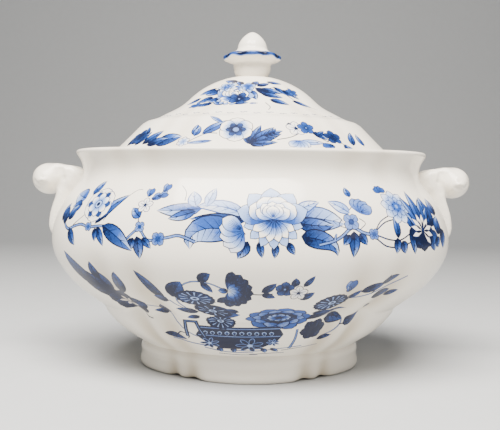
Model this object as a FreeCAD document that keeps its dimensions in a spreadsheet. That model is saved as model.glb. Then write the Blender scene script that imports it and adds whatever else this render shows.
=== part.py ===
import FreeCAD, Part
import Sketcher
import math
import os

# Oval soup tureen in slip-cast glazed earthenware: a lobed bowl with a ledge
# luted into its neck, a scalloped foot ring, two scroll lug handles, and a domed
# lid whose locating flange drops inside the ledge and whose finial is its grip.
#
# +X runs along the length, from handle to handle, and +Z is up. The origin is
# on the table under the middle of the foot. Sizes are in millimetres.

DEGREES_PER_POINT = 3.0
MM_PER_OVAL = 5.0
UP = FreeCAD.Vector(0, 0, 1)
UPRIGHT = FreeCAD.Placement(FreeCAD.Vector(), FreeCAD.Rotation(FreeCAD.Vector(1, 0, 0), 90))
IN_PLACE = FreeCAD.Placement()
ROUND_TIP = "round_tip"
ARC_CENTRE = 3
SKETCH_ORIGIN = -1
SKETCH_AXIS = -2

# Driving dimensions: alias, value, what it is.
SIZES = (
    ("depth_ratio", 0.8, "half-depth of every oval over its half-length"),
    ("front_crease_angle", 60.0, "angle on the oval of the crease beside the wide front lobe"),
    ("corner_crease_angle", 47.0, "angle on the oval of the crease beside the end lobe"),
    ("crease_spread", 4.5, "angle over which a crease fades out"),
    ("ledge_top", 145.0, "height of the ledge that the lid rests on"),

    ("ledge_opening", 98.0, "half-length of the opening inside the ledge"),
    ("ledge_edge_bottom", 140.5, "height of the underside of the ledge at its opening"),
    ("ledge_root", 120.0, "half-length to which the ledge runs before the neck trims it"),
    ("ledge_root_bottom", 134.5, "height of the underside of the ledge at its root"),
    ("flange_half", 96.0, "half-length of the lid's locating flange"),
    ("flange_bottom", 137.0, "height of the flange's lower edge"),
    ("flange_top", 150.0, "height up to which the flange runs inside the lid"),
    ("notch_angle", -32.0, "angle on the oval of the ladle notch"),
    ("notch_radius", 7.5, "radius of the ladle notch"),
    ("notch_reach", 60.0, "length of the tool that cuts the ladle notch"),
    ("notch_start", 70.0, "distance of that tool from the middle"),
    ("notch_height", 143.0, "height of the notch's centre"),
    ("web_width", 30.0, "width of a handle's strap"),
    ("roll_out", 148.6, "distance of the scroll's roll from the middle"),
    ("roll_up", 135.0, "height of the scroll's roll"),
    ("roll_radius", 11.4, "radius of the roll"),
    ("roll_half_width", 20.5, "half the width of the roll"),
    ("spigot_bottom", 204.0, "depth to which the finial is let into the lid"),
    ("stem_radius", 11.0, "radius of the finial's stem where it leaves the lid"),
    ("stem_bottom", 210.5, "height of the finial's stem base"),
    ("cup_radius", 14.4, "radius of the cup under the skirt"),
    ("cup_top", 220.5, "height of the top of the cup"),
    ("cup_arc", 12.0, "radius of the cup's round side"),
    ("skirt_radius", 21.2, "radius of the flared skirt"),
    ("skirt_low", 223.2, "height of the skirt's lower edge"),
    ("skirt_high", 226.6, "height of the skirt's upper edge"),
    ("acorn_radius", 10.7, "radius of the acorn where it leaves the skirt"),
    ("acorn_bottom", 231.8, "height of the acorn's base"),
    ("acorn_shoulder_radius", 5.6, "radius of the acorn near its tip"),
    ("acorn_shoulder", 241.2, "height of the acorn near its tip"),
    ("acorn_side_arc", 17.0, "radius of the acorn's side"),
    ("acorn_top", 243.8, "height of the tip"),
    ("scallop_radius", 9.0, "radius of the cuts that scallop the skirt"),
    ("scallop_out", 28.6, "distance of those cuts from the finial's axis"),
    ("scallop_bottom", 218.0, "height where those cuts start"),
    ("scallop_height", 14.0, "height of those cuts"),
    ("scallop_count", 8.0, "number of lobes of the skirt"),
)

OVAL_WORDS = ("height", "half", "crease", "inset")

# Ovals of each lofted form: height, half-length, crease depth and corner
# inset, the last two as shares of the half-length.
SECTIONS = {
    "bowl": (
        (12.0, 68.0, 0.0, 0.02),
        (18.0, 76.5, 0.012, 0.012),
        (25.5, 88.0, 0.022, 0.0),
        (33.0, 97.5, 0.024, 0.0),
        (40.0, 103.2, 0.018, 0.0),
        (45.0, 106.2, 0.008, 0.0),
        (49.0, 111.0, 0.014, 0.0),
        (57.0, 122.3, 0.022, 0.0),
        (70.0, 134.5, 0.022, 0.0),
        (80.0, 140.6, 0.014, 0.0),
        (92.0, 143.5, 0.003, 0.0),
        (105.0, 141.6, 0.0, 0.0),
        (118.0, 135.8, 0.0, 0.0),
        (129.0, 127.6, 0.002, 0.0),
        (138.0, 122.0, 0.006, 0.0),
        (146.0, 122.3, 0.008, 0.0),
        (151.0, 125.2, 0.009, 0.0),
        (153.6, 127.0, 0.01, 0.0),
        (155.0, 126.6, 0.01, 0.0),
        (155.4, 125.2, 0.01, 0.0),
    ),
    "hollow": (
        (19.0, 40.0, 0.0, 0.0),
        (20.5, 64.0, 0.0, 0.0),
        (26.0, 80.5, 0.0, 0.0),
        (36.0, 92.0, 0.0, 0.0),
        (46.0, 99.0, 0.0, 0.0),
        (57.0, 113.5, 0.0, 0.0),
        (70.0, 126.5, 0.0, 0.0),
        (80.0, 133.0, 0.0, 0.0),
        (92.0, 136.6, 0.0, 0.0),
        (105.0, 134.8, 0.0, 0.0),
        (118.0, 128.8, 0.0, 0.0),
        (129.0, 120.6, 0.0, 0.0),
        (138.0, 115.2, 0.004, 0.0),
        (146.0, 115.6, 0.006, 0.0),
        (151.0, 118.4, 0.008, 0.0),
        (155.4, 122.6, 0.01, 0.0),
        (160.0, 126.4, 0.01, 0.0),
    ),
    "foot": (
        (0.0, 78.0, 0.03, 0.06),
        (2.0, 79.8, 0.03, 0.06),
        (5.0, 80.2, 0.026, 0.055),
        (9.0, 78.8, 0.016, 0.04),
        (12.0, 79.8, 0.014, 0.03),
        (17.0, 78.2, 0.012, 0.02),
        (24.0, 76.8, 0.012, 0.015),
    ),
    "foot_hollow": (
        (-1.0, 70.0, 0.02, 0.06),
        (6.0, 68.0, 0.015, 0.04),
        (13.0, 66.5, 0.0, 0.03),
        (24.0, 65.0, 0.0, 0.02),
    ),
    "lid": (
        (145.3, 106.6, 0.01, 0.0),
        (147.5, 107.2, 0.01, 0.0),
        (151.0, 103.6, 0.01, 0.0),
        (157.0, 97.4, 0.01, 0.0),
        (166.0, 88.4, 0.009, 0.0),
        (173.0, 81.6, 0.008, 0.0),
        (176.5, 77.0, 0.008, 0.0),
        (178.3, 71.5, 0.008, 0.0),
        (182.0, 63.5, 0.009, 0.0),
        (189.0, 51.0, 0.01, 0.0),
        (197.5, 41.6, 0.01, 0.0),
        (203.0, 33.6, 0.006, 0.0),
        (208.0, 22.5, 0.002, 0.0),
        (210.5, 13.0, 0.0, 0.0),
        (211.2, 6.0, 0.0, 0.0),
    ),
    "lid_hollow": (
        (136.0, 91.0, 0.0, 0.0),
        (150.0, 91.0, 0.0, 0.0),
        (158.0, 88.0, 0.0, 0.0),
        (166.0, 81.6, 0.0, 0.0),
        (172.0, 73.6, 0.0, 0.0),
        (176.0, 63.0, 0.0, 0.0),
        (183.0, 48.4, 0.0, 0.0),
        (191.0, 37.6, 0.0, 0.0),
        (197.0, 27.5, 0.0, 0.0),
        (201.0, 12.0, 0.0, 0.0),
    ),
}

# Outline of a handle's strap, seen from the front and listed clockwise: distance
# from the middle, height, and the radius of the arc to the next corner. A radius
# below zero runs clockwise too, and so bulges outwards. None is a straight side.
STRAP = (
    (112.0, 133.0, None),
    (121.5, 138.6, -24.0),
    (147.0, 146.4, -12.0),
    (152.0, 137.0, None),
    (143.4, 139.4, 9.0),
    (138.0, 129.0, 40.0),
    (148.4, 103.0, -30.0),
    (143.2, 84.0, None),
    (128.0, 90.0, None),
)


def new_sheet(doc):
    """The spreadsheet that holds every driving dimension under its alias."""
    sheet = doc.addObject("Spreadsheet::Sheet", "Sizes")
    rows = list(SIZES)
    for form, ovals in SECTIONS.items():
        for number, oval in enumerate(ovals):
            for word, value in zip(OVAL_WORDS, oval):
                rows.append((f"{form}_{word}_{number}", value, f"{form}, oval {number}: {word}"))
    for number, (out, up, radius) in enumerate(STRAP):
        rows.append((f"strap_out_{number}", out, f"strap, corner {number}: distance out"))
        rows.append((f"strap_up_{number}", up, f"strap, corner {number}: height"))
        if radius:
            rows.append((f"strap_arc_{number}", abs(radius), f"strap, side {number}: radius"))
    for row, (alias, value, meaning) in enumerate(rows, start=1):
        sheet.set(f"A{row}", meaning)
        sheet.set(f"B{row}", str(value))
        sheet.setAlias(f"B{row}", alias)
    doc.recompute()
    return sheet


def bound(feature, **sizes):
    """Binds each named property of a feature to an expression on the sheet."""
    for name, expression in sizes.items():
        feature.setExpression(name.replace("__", "."), expression)
    return feature


def made(doc, kind, name, **properties):
    """A new feature of the document with its plain properties set."""
    feature = doc.addObject(kind, name)
    for key, value in properties.items():
        setattr(feature, key, value)
    return feature


def cut(doc, name, base, tool):
    return made(doc, "Part::Cut", name, Base=base, Tool=tool)


def fused(doc, name, *shapes):
    return made(doc, "Part::MultiFuse", name, Shapes=list(shapes))


def oval_wire(sheet, height, half_length, crease, inset):
    """One lobed oval: an ellipse pulled in at its creases and at its corners."""
    creases = (sheet.corner_crease_angle, sheet.front_crease_angle)
    count = round(360.0 / DEGREES_PER_POINT)
    points = []
    for step in range(count):
        angle = 360.0 * step / count
        off_axis = abs((angle + 90.0) % 180.0 - 90.0)
        pulls = [math.exp(-(((off_axis - c) / sheet.crease_spread) ** 2)) for c in creases]
        corner = math.sin(2.0 * math.radians(angle)) ** 2
        reach = half_length * (1.0 - crease * sum(pulls) - inset * corner)
        x = reach * math.cos(math.radians(angle))
        y = reach * sheet.depth_ratio * math.sin(math.radians(angle))
        points.append(FreeCAD.Vector(x, y, height))
    curve = Part.BSplineCurve()
    knots = [step / count for step in range(count + 1)]
    curve.interpolate(Points=points, PeriodicFlag=True, Parameters=knots)
    return Part.Wire(curve.toShape())


def smooth_slopes(knots, values):
    """Slopes at the knots of a smooth curve that never overshoots its values."""
    steps = [(b - a) / (v - u) for a, b, u, v in zip(values, values[1:], knots, knots[1:])]
    inner = [2 * a * b / (a + b) if a * b > 0 else 0.0 for a, b in zip(steps, steps[1:])]
    return [steps[0], *inner, steps[-1]]


def smooth_between(share, span, values, slopes):
    """The smooth curve's value at a share of the way between two knots."""
    start, end = values
    lift = share * share * (3 - 2 * share)
    lead = share * (1 - share) ** 2 * slopes[0] * span
    trail = share * share * (share - 1) * slopes[1] * span
    return start + (end - start) * lift + lead + trail


def smooth_ovals(ovals):
    """The given ovals and more between them, spaced along the side of the form."""
    along = [0.0]
    for (low, narrow, *_), (high, wide, *_) in zip(ovals, ovals[1:]):
        along.append(along[-1] + math.hypot(high - low, wide - narrow))
    columns = list(zip(*ovals))
    slopes = [smooth_slopes(along, column) for column in columns]
    rows = [ovals[0]]
    for number, (start, end) in enumerate(zip(along, along[1:])):
        parts = math.ceil((end - start) / MM_PER_OVAL)
        for part in range(1, parts + 1):
            row = [
                smooth_between(part / parts, end - start, c[number:number + 2], s[number:number + 2])
                for c, s in zip(columns, slopes)
            ]
            rows.append(row)
    return rows


def oval_form(doc, sheet, form):
    """A closed solid lofted through the ovals that the sheet holds for this form."""
    numbers = range(len(SECTIONS[form]))
    ovals = [[sheet.get(f"{form}_{word}_{number}") for word in OVAL_WORDS] for number in numbers]
    wires = [oval_wire(sheet, *oval) for oval in smooth_ovals(ovals)]
    loft = Part.makeLoft(wires, True, False)
    return made(doc, "Part::Feature", form + "_form", Shape=loft, Placement=IN_PLACE)


def side_between(start, end, radius):
    """A straight side, or an arc that runs anticlockwise for a positive radius."""
    if not radius:
        return Part.LineSegment(start, end)
    if radius < 0:
        start, end = end, start
    chord = end - start
    across = FreeCAD.Vector(-chord.y, chord.x, 0).normalize()
    centre = (start + end) * 0.5 + across * math.sqrt(radius**2 - (chord.Length / 2) ** 2)
    angles = [math.atan2(p.y - centre.y, p.x - centre.x) for p in (start, end)]
    return Part.ArcOfCircle(Part.Circle(centre, UP, abs(radius)), *angles)


def bind_point(sketch, side, end, place, corner):
    """Binds one end of a side to the two aliases of a corner. With no first alias it is on the axis."""
    out, up = corner
    if out:
        held = sketch.addConstraint(Sketcher.Constraint("DistanceX", SKETCH_ORIGIN, 1, side, end, place.x))
        sketch.setExpression(f"Constraints[{held}]", f"Sizes.{out}")
    else:
        sketch.addConstraint(Sketcher.Constraint("PointOnObject", side, end, SKETCH_AXIS))
    held = sketch.addConstraint(Sketcher.Constraint("DistanceY", SKETCH_ORIGIN, 1, side, end, place.y))
    sketch.setExpression(f"Constraints[{held}]", f"Sizes.{up}")


def tip_radius(start, end):
    """Radius of the arc that ends square to the axis at its tip."""
    rise = end.y - start.y
    return (start.x**2 + rise**2) / (2 * rise)


def bind_arc(sketch, side, radius, alias):
    """Holds an arc's radius at an alias, or its centre on the axis for a round tip."""
    if alias == ROUND_TIP:
        sketch.addConstraint(Sketcher.Constraint("PointOnObject", side, ARC_CENTRE, SKETCH_AXIS))
    elif alias:
        held = sketch.addConstraint(Sketcher.Constraint("Radius", side, radius))
        sketch.setExpression(f"Constraints[{held}]", f"Sizes.{alias}")


def profile_sketch(doc, sheet, name, corners):
    """A closed upright sketch. Each corner holds the aliases of its distance out, its height
    and the radius of the side that follows, with a minus sign where that arc runs clockwise."""
    sketch = made(doc, "Sketcher::SketchObject", name, Placement=UPRIGHT)
    places = [FreeCAD.Vector(sheet.get(out) if out else 0, sheet.get(up), 0) for out, up, _ in corners]
    for side, (start, end) in enumerate(zip(places, places[1:] + places[:1])):
        arc = corners[side][2] or ""
        alias = arc.lstrip("-")
        radius = tip_radius(start, end) if arc == ROUND_TIP else sheet.get(alias) if arc else 0
        clockwise = arc.startswith("-")
        sketch.addGeometry(side_between(start, end, -radius if clockwise else radius), False)
        first, last = (2, 1) if clockwise else (1, 2)
        following = corners[(side + 1) % len(corners)]
        bind_point(sketch, side, first, start, corners[side][:2])
        bind_point(sketch, side, last, end, following[:2])
        bind_arc(sketch, side, radius, alias)
    return sketch


def turned(doc, name, sketch):
    """The solid that a sketch sweeps out around the upright axis."""
    return made(doc, "Part::Revolution", name, Source=sketch, Axis=UP, Angle=360, Solid=True)


def made_oval(doc, name, round_form):
    """A round form narrowed from front to back, so that it fits the oval ware."""
    oval = made(doc, "Part::Scale", name, Base=round_form, Uniform=False, XScale=1, ZScale=1)
    return bound(oval, YScale="Sizes.depth_ratio")


def make_bowl(doc, sheet, outside):
    """The lobed bowl: one wall from the floor out over the belly and in to the flared neck."""
    return cut(doc, "bowl", outside, oval_form(doc, sheet, "hollow"))


def make_ledge(doc, sheet, bowl):
    """The ring that seats the lid, luted into the neck and trimmed by its wall."""
    corners = (
        ("ledge_opening", "ledge_edge_bottom", None),
        ("ledge_root", "ledge_root_bottom", None),
        ("ledge_root", "ledge_top", None),
        ("ledge_opening", "ledge_top", None),
    )
    ring = turned(doc, "ledge_turned", profile_sketch(doc, sheet, "ledge_profile", corners))
    return cut(doc, "ledge", made_oval(doc, "ledge_oval", ring), bowl)


def make_foot(doc, sheet, bowl_outside):
    """The scalloped foot ring, luted under the bowl and open underneath."""
    ring = cut(doc, "foot_ring", oval_form(doc, sheet, "foot"), oval_form(doc, sheet, "foot_hollow"))
    return cut(doc, "foot", ring, bowl_outside)


def make_handle(doc, sheet, bowl_outside):
    """The right-hand lug: a leaf-shaped strap that rolls over into a scroll."""
    corners = []
    for number, (out, up, radius) in enumerate(STRAP):
        sign = "-" if radius and radius < 0 else ""
        arc = f"{sign}strap_arc_{number}" if radius else None
        corners.append((f"strap_out_{number}", f"strap_up_{number}", arc))
    outline = profile_sketch(doc, sheet, "strap_profile", corners)
    strap = made(doc, "Part::Extrusion", "strap", Base=outline, DirMode="Normal", Solid=True)
    strap.Symmetric = True
    bound(strap, LengthFwd="Sizes.web_width")
    roll = doc.addObject("Part::Ellipsoid", "roll")
    bound(roll, Radius1="Sizes.roll_radius", Radius2="Sizes.roll_radius", Radius3="Sizes.roll_half_width")
    bound(roll, Placement__Base__x="Sizes.roll_out", Placement__Base__z="Sizes.roll_up")
    return cut(doc, "handle_right", fused(doc, "lug", strap, roll), bowl_outside)


def make_lid(doc, sheet, outside):
    """The domed lid, with a flange inside the ledge and a notch for the ladle's stem."""
    flange = doc.addObject("Part::Cylinder", "flange")
    bound(flange, Radius="Sizes.flange_half", Height="Sizes.flange_top - Sizes.flange_bottom")
    flange_oval = made_oval(doc, "flange_oval", flange)
    bound(flange_oval, Placement__Base__z="Sizes.flange_bottom")
    dome_solid = fused(doc, "dome_solid", outside, flange_oval)
    dome = cut(doc, "dome", dome_solid, oval_form(doc, sheet, "lid_hollow"))
    notch = doc.addObject("Part::Cylinder", "ladle_notch")
    bound(notch, Radius="Sizes.notch_radius", Height="Sizes.notch_reach")
    angle = math.radians(sheet.notch_angle)
    away = FreeCAD.Vector(math.cos(angle), sheet.depth_ratio * math.sin(angle), 0).normalize()
    start = away * sheet.notch_start + UP * sheet.notch_height
    notch.Placement = FreeCAD.Placement(start, FreeCAD.Rotation(UP, away))
    return cut(doc, "lid", dome, notch)


def make_finial(doc, sheet, lid_outside):
    """The grip: a cup-shaped stem, a scalloped skirt and an acorn, let into the lid."""
    corners = (
        (None, "spigot_bottom", None),
        ("stem_radius", "spigot_bottom", None),
        ("stem_radius", "stem_bottom", "cup_arc"),
        ("cup_radius", "cup_top", None),
        ("skirt_radius", "skirt_low", None),
        ("skirt_radius", "skirt_high", None),
        ("acorn_radius", "acorn_bottom", "acorn_side_arc"),
        ("acorn_shoulder_radius", "acorn_shoulder", ROUND_TIP),
        (None, "acorn_top", None),
    )
    knob = turned(doc, "knob", profile_sketch(doc, sheet, "knob_profile", corners))
    scallops = []
    for number in range(int(sheet.scallop_count)):
        tool = doc.addObject("Part::Cylinder", f"scallop_{number}")
        bound(tool, Radius="Sizes.scallop_radius", Height="Sizes.scallop_height")
        turn = f"{number} * 360 / Sizes.scallop_count"
        bound(tool, Placement__Base__x=f"Sizes.scallop_out * cos({turn})")
        bound(tool, Placement__Base__y=f"Sizes.scallop_out * sin({turn})")
        bound(tool, Placement__Base__z="Sizes.scallop_bottom")
        scallops.append(tool)
    lobed_knob = cut(doc, "lobed_knob", knob, fused(doc, "scallops", *scallops))
    return cut(doc, "finial", lobed_knob, lid_outside)


def make_nodes(doc):
    """Builds the document and returns the object of each separate piece."""
    sheet = new_sheet(doc)
    bowl_outside = oval_form(doc, sheet, "bowl")
    lid_outside = oval_form(doc, sheet, "lid")
    bowl = make_bowl(doc, sheet, bowl_outside)
    handle_right = make_handle(doc, sheet, bowl_outside)
    return (
        bowl,
        make_ledge(doc, sheet, bowl),
        make_foot(doc, sheet, bowl_outside),
        handle_right,
        made(doc, "Part::Mirroring", "handle_left", Source=handle_right, Normal=FreeCAD.Vector(1, 0, 0)),
        make_lid(doc, sheet, lid_outside),
        make_finial(doc, sheet, lid_outside),
    )


def check(doc, nodes):
    """Stops if a feature failed or a piece isn't one valid solid."""
    for feature in doc.Objects:
        if "Invalid" in feature.State or "Error" in feature.State:
            raise RuntimeError(f"{feature.Label} failed: {feature.State}")
    for node in nodes:
        if node.Shape.isNull() or not node.Shape.isValid():
            raise RuntimeError(f"{node.Label} has no valid shape")
        if len(node.Shape.Solids) != 1:
            raise RuntimeError(f"{node.Label} has {len(node.Shape.Solids)} solids")


def main():
    os.makedirs("parts", exist_ok=True)
    doc = FreeCAD.newDocument("Tureen")
    nodes = make_nodes(doc)
    doc.recompute()
    check(doc, nodes)
    for node in nodes:
        node.Shape.exportStep(f"parts/{node.Label}.step")
        box = node.Shape.BoundBox
        print(node.Label, round(node.Shape.Volume), [round(v, 1) for v in (box.XMin, box.YMin, box.ZMin)],
              [round(v, 1) for v in (box.XMax, box.YMax, box.ZMax)])


main()
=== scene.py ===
import math
from typing import NamedTuple

import bmesh
import bpy
import numpy as np
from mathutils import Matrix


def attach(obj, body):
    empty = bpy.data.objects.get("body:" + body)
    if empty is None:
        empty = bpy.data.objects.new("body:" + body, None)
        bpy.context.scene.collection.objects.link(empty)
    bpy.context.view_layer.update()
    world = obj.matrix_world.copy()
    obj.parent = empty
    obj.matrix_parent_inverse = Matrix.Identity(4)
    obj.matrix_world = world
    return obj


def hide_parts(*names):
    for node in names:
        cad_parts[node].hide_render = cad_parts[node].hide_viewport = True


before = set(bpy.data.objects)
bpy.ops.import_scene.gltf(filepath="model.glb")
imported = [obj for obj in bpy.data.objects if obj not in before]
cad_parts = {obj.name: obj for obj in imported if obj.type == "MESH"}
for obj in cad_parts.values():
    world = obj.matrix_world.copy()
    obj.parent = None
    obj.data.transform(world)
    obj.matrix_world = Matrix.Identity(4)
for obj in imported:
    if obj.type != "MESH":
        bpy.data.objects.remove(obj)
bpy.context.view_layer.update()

import openvdb
from bpy.props import FloatProperty, FloatVectorProperty, PointerProperty
from bpy.types import Operator, Panel, PropertyGroup
from mathutils import Matrix, Vector
from mathutils.geometry import delaunay_2d_cdt

bl_info = {
    "name": "Printed soup tureen",
    "version": (1, 0, 0),
    "blender": (4, 5, 0),
    "location": "3D View > Sidebar > Tureen",
    "description": "Builds a covered soup tureen in cream ware with a blue flower print",
    "category": "Object",
}

MM = 0.001


# ---------------------------------------------------------------- the ware's forms

OVAL_RATIO = 0.8
LOBE_ANGLES = (47.0, 60.0)
LOBE_SPREAD = 4.5
DEEPEST_CREASE = 0.024
COLUMN_STEP = 2.0
FINE_ROW = 0.9
LEDGE_ROW = 1.2
WIDE_ROW = 6.0
PRINT_ROW = 3.6

# Each form is one closed profile. The bowl's runs from the middle of its underside
# up the outer face and down the inner one, and the lid's from the middle of its
# hollow down to the flange and up the outer face. The ledge and the foot are rings,
# which end where they start. Columns: height and half-length in mm, then crease
# depth and corner inset as shares of the half-length, and how far the row lifts at
# a crease, in mm. Columns left out are zero.
BOWL_PROFILE = (
    (12.4, 0.0),
    (12.4, 40.0, 0.0, 0.01),
    (12.4, 62.0, 0.0, 0.02),
    (12.8, 67.0, 0.0, 0.02),
    (15.0, 72.0, 0.004, 0.018),
    (18.0, 76.5, 0.012, 0.012),
    (25.5, 88.0, 0.022),
    (33.0, 97.5, 0.026, 0.0, 0.6),
    (39.0, 103.0, 0.022, 0.0, 2.0),
    (43.2, 105.7, 0.014, 0.0, 3.4),
    (45.6, 106.7, 0.01, 0.0, 4.0),
    (47.4, 109.0, 0.012, 0.0, 4.0),
    (51.0, 114.2, 0.018, 0.0, 2.6),
    (57.0, 122.3, 0.024, 0.0, 1.0),
    (64.0, 129.8, 0.026),
    (70.0, 134.5, 0.023),
    (80.0, 140.6, 0.012),
    (92.0, 143.4, 0.002),
    (105.0, 141.6),
    (118.0, 135.8),
    (129.0, 127.6, 0.002),
    (134.5, 123.6, 0.004),
    (139.0, 121.9, 0.006),
    (144.0, 122.0, 0.008),
    (148.5, 123.7, 0.009),
    (151.6, 125.7, 0.01),
    (153.3, 126.6, 0.01),
    (154.6, 126.3, 0.01),
    (155.3, 125.3, 0.01),
    (155.4, 124.2, 0.01),
    (155.0, 123.0, 0.01),
    (153.4, 121.2, 0.009),
    (150.0, 118.6, 0.008),
    (146.0, 116.2, 0.006),
    (138.0, 115.4, 0.004),
    (129.0, 120.6),
    (118.0, 128.8),
    (105.0, 134.8),
    (92.0, 136.6),
    (80.0, 133.0),
    (66.0, 122.8),
    (52.0, 106.8),
    (40.0, 94.8),
    (28.0, 82.6),
    (21.4, 66.0),
    (19.4, 40.0),
    (19.0, 0.0),
)
LEDGE_PROFILE = (
    (144.0, 98.1),
    (144.7, 98.7),
    (145.0, 99.8),
    (145.0, 108.0),
    (145.0, 118.0),
    (141.0, 119.0),
    (135.4, 118.0),
    (137.2, 110.0),
    (140.3, 99.5),
    (140.9, 98.4),
    (142.2, 98.0),
    (144.0, 98.1),
)
FOOT_PROFILE = (
    (1.6, 70.3, 0.022, 0.06, 0.8),
    (0.4, 71.4, 0.024, 0.06, 1.2),
    (0.1, 73.0, 0.026, 0.06, 1.4),
    (0.1, 76.6, 0.03, 0.06, 1.4),
    (0.5, 78.5, 0.03, 0.06, 1.2),
    (1.8, 79.7, 0.03, 0.06, 0.8),
    (3.6, 80.2, 0.028, 0.058, 0.3),
    (5.6, 80.1, 0.025, 0.054),
    (7.6, 79.6, 0.022, 0.046),
    (9.2, 79.2, 0.02, 0.04),
    (11.0, 79.2, 0.018, 0.034),
    (12.8, 79.5, 0.016, 0.029),
    (15.0, 79.4, 0.014, 0.024),
    (17.4, 78.3, 0.012, 0.02),
    (19.4, 76.4, 0.012, 0.015),
    (19.6, 73.0, 0.012, 0.015),
    (17.0, 69.0, 0.006, 0.02),
    (13.0, 66.6, 0.0, 0.03),
    (6.0, 68.0, 0.015, 0.04),
    (1.6, 70.3, 0.022, 0.06, 0.8),
)
LID_PROFILE = (
    (200.6, 0.0),
    (200.4, 13.0),
    (196.6, 28.0),
    (190.6, 38.0),
    (182.8, 48.8),
    (176.0, 62.8),
    (172.0, 73.4),
    (166.0, 81.4),
    (158.0, 87.6),
    (150.0, 90.6),
    (144.0, 91.0),
    (138.8, 91.1),
    (137.5, 91.8),
    (137.0, 93.2),
    (137.4, 95.0),
    (138.6, 95.8),
    (142.0, 96.0),
    (144.6, 96.4),
    (145.3, 97.8, 0.003),
    (145.3, 102.0, 0.008),
    (145.4, 105.4, 0.01),
    (145.9, 106.7, 0.01),
    (147.0, 107.2, 0.01),
    (148.4, 106.5, 0.01),
    (150.6, 104.2, 0.01),
    (157.0, 97.4, 0.01),
    (166.0, 88.4, 0.009),
    (172.6, 82.0, 0.008),
    (175.4, 78.9, 0.008),
    (176.8, 76.2, 0.008),
    (177.5, 73.4, 0.008),
    (178.6, 70.2, 0.008),
    (182.0, 63.5, 0.009),
    (189.0, 51.0, 0.01),
    (197.5, 41.4, 0.01),
    (203.0, 33.4, 0.006),
    (208.0, 22.5, 0.002),
    (210.6, 12.5),
    (211.2, 0.0),
)

# Where each print lies: the rows of the profile that it is between, and its lowest
# and highest points in mm. Then the rows where the bowl's lip ends and where the
# lid's rim starts.
BOWL_PRINT = (4, 24, 19.0, 148.0)
LID_PRINT = (24, 37, 152.6, 206.5)
LIP_END_ROW = 32
RIM_START_ROW = 10

# The bowl's rim sags a little at the front and back, between these heights in mm.
RIM_FLARE, RIM_TOP = 138.0, 155.4
RIM_DIP = 1.8

# Ladle notch: its place on the oval, in degrees, and its size in mm. It is cut
# further out than its start and below its ceiling.
NOTCH_ANGLE = -32.0
NOTCH_RADIUS = 7.5
NOTCH_CENTRE = 143.0
NOTCH_START = 74.0
NOTCH_CEILING = 152.0
NOTCH_COLUMNS = np.arange(-39.0, -25.0, 0.5)


def valley(angles):
    """How near each angle on the oval is to a crease between two lobes, 0 to 2."""
    off_axis = np.abs((angles + 90.0) % 180.0 - 90.0)
    return sum(np.exp(-(((off_axis - crease) / LOBE_SPREAD) ** 2)) for crease in LOBE_ANGLES)


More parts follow.
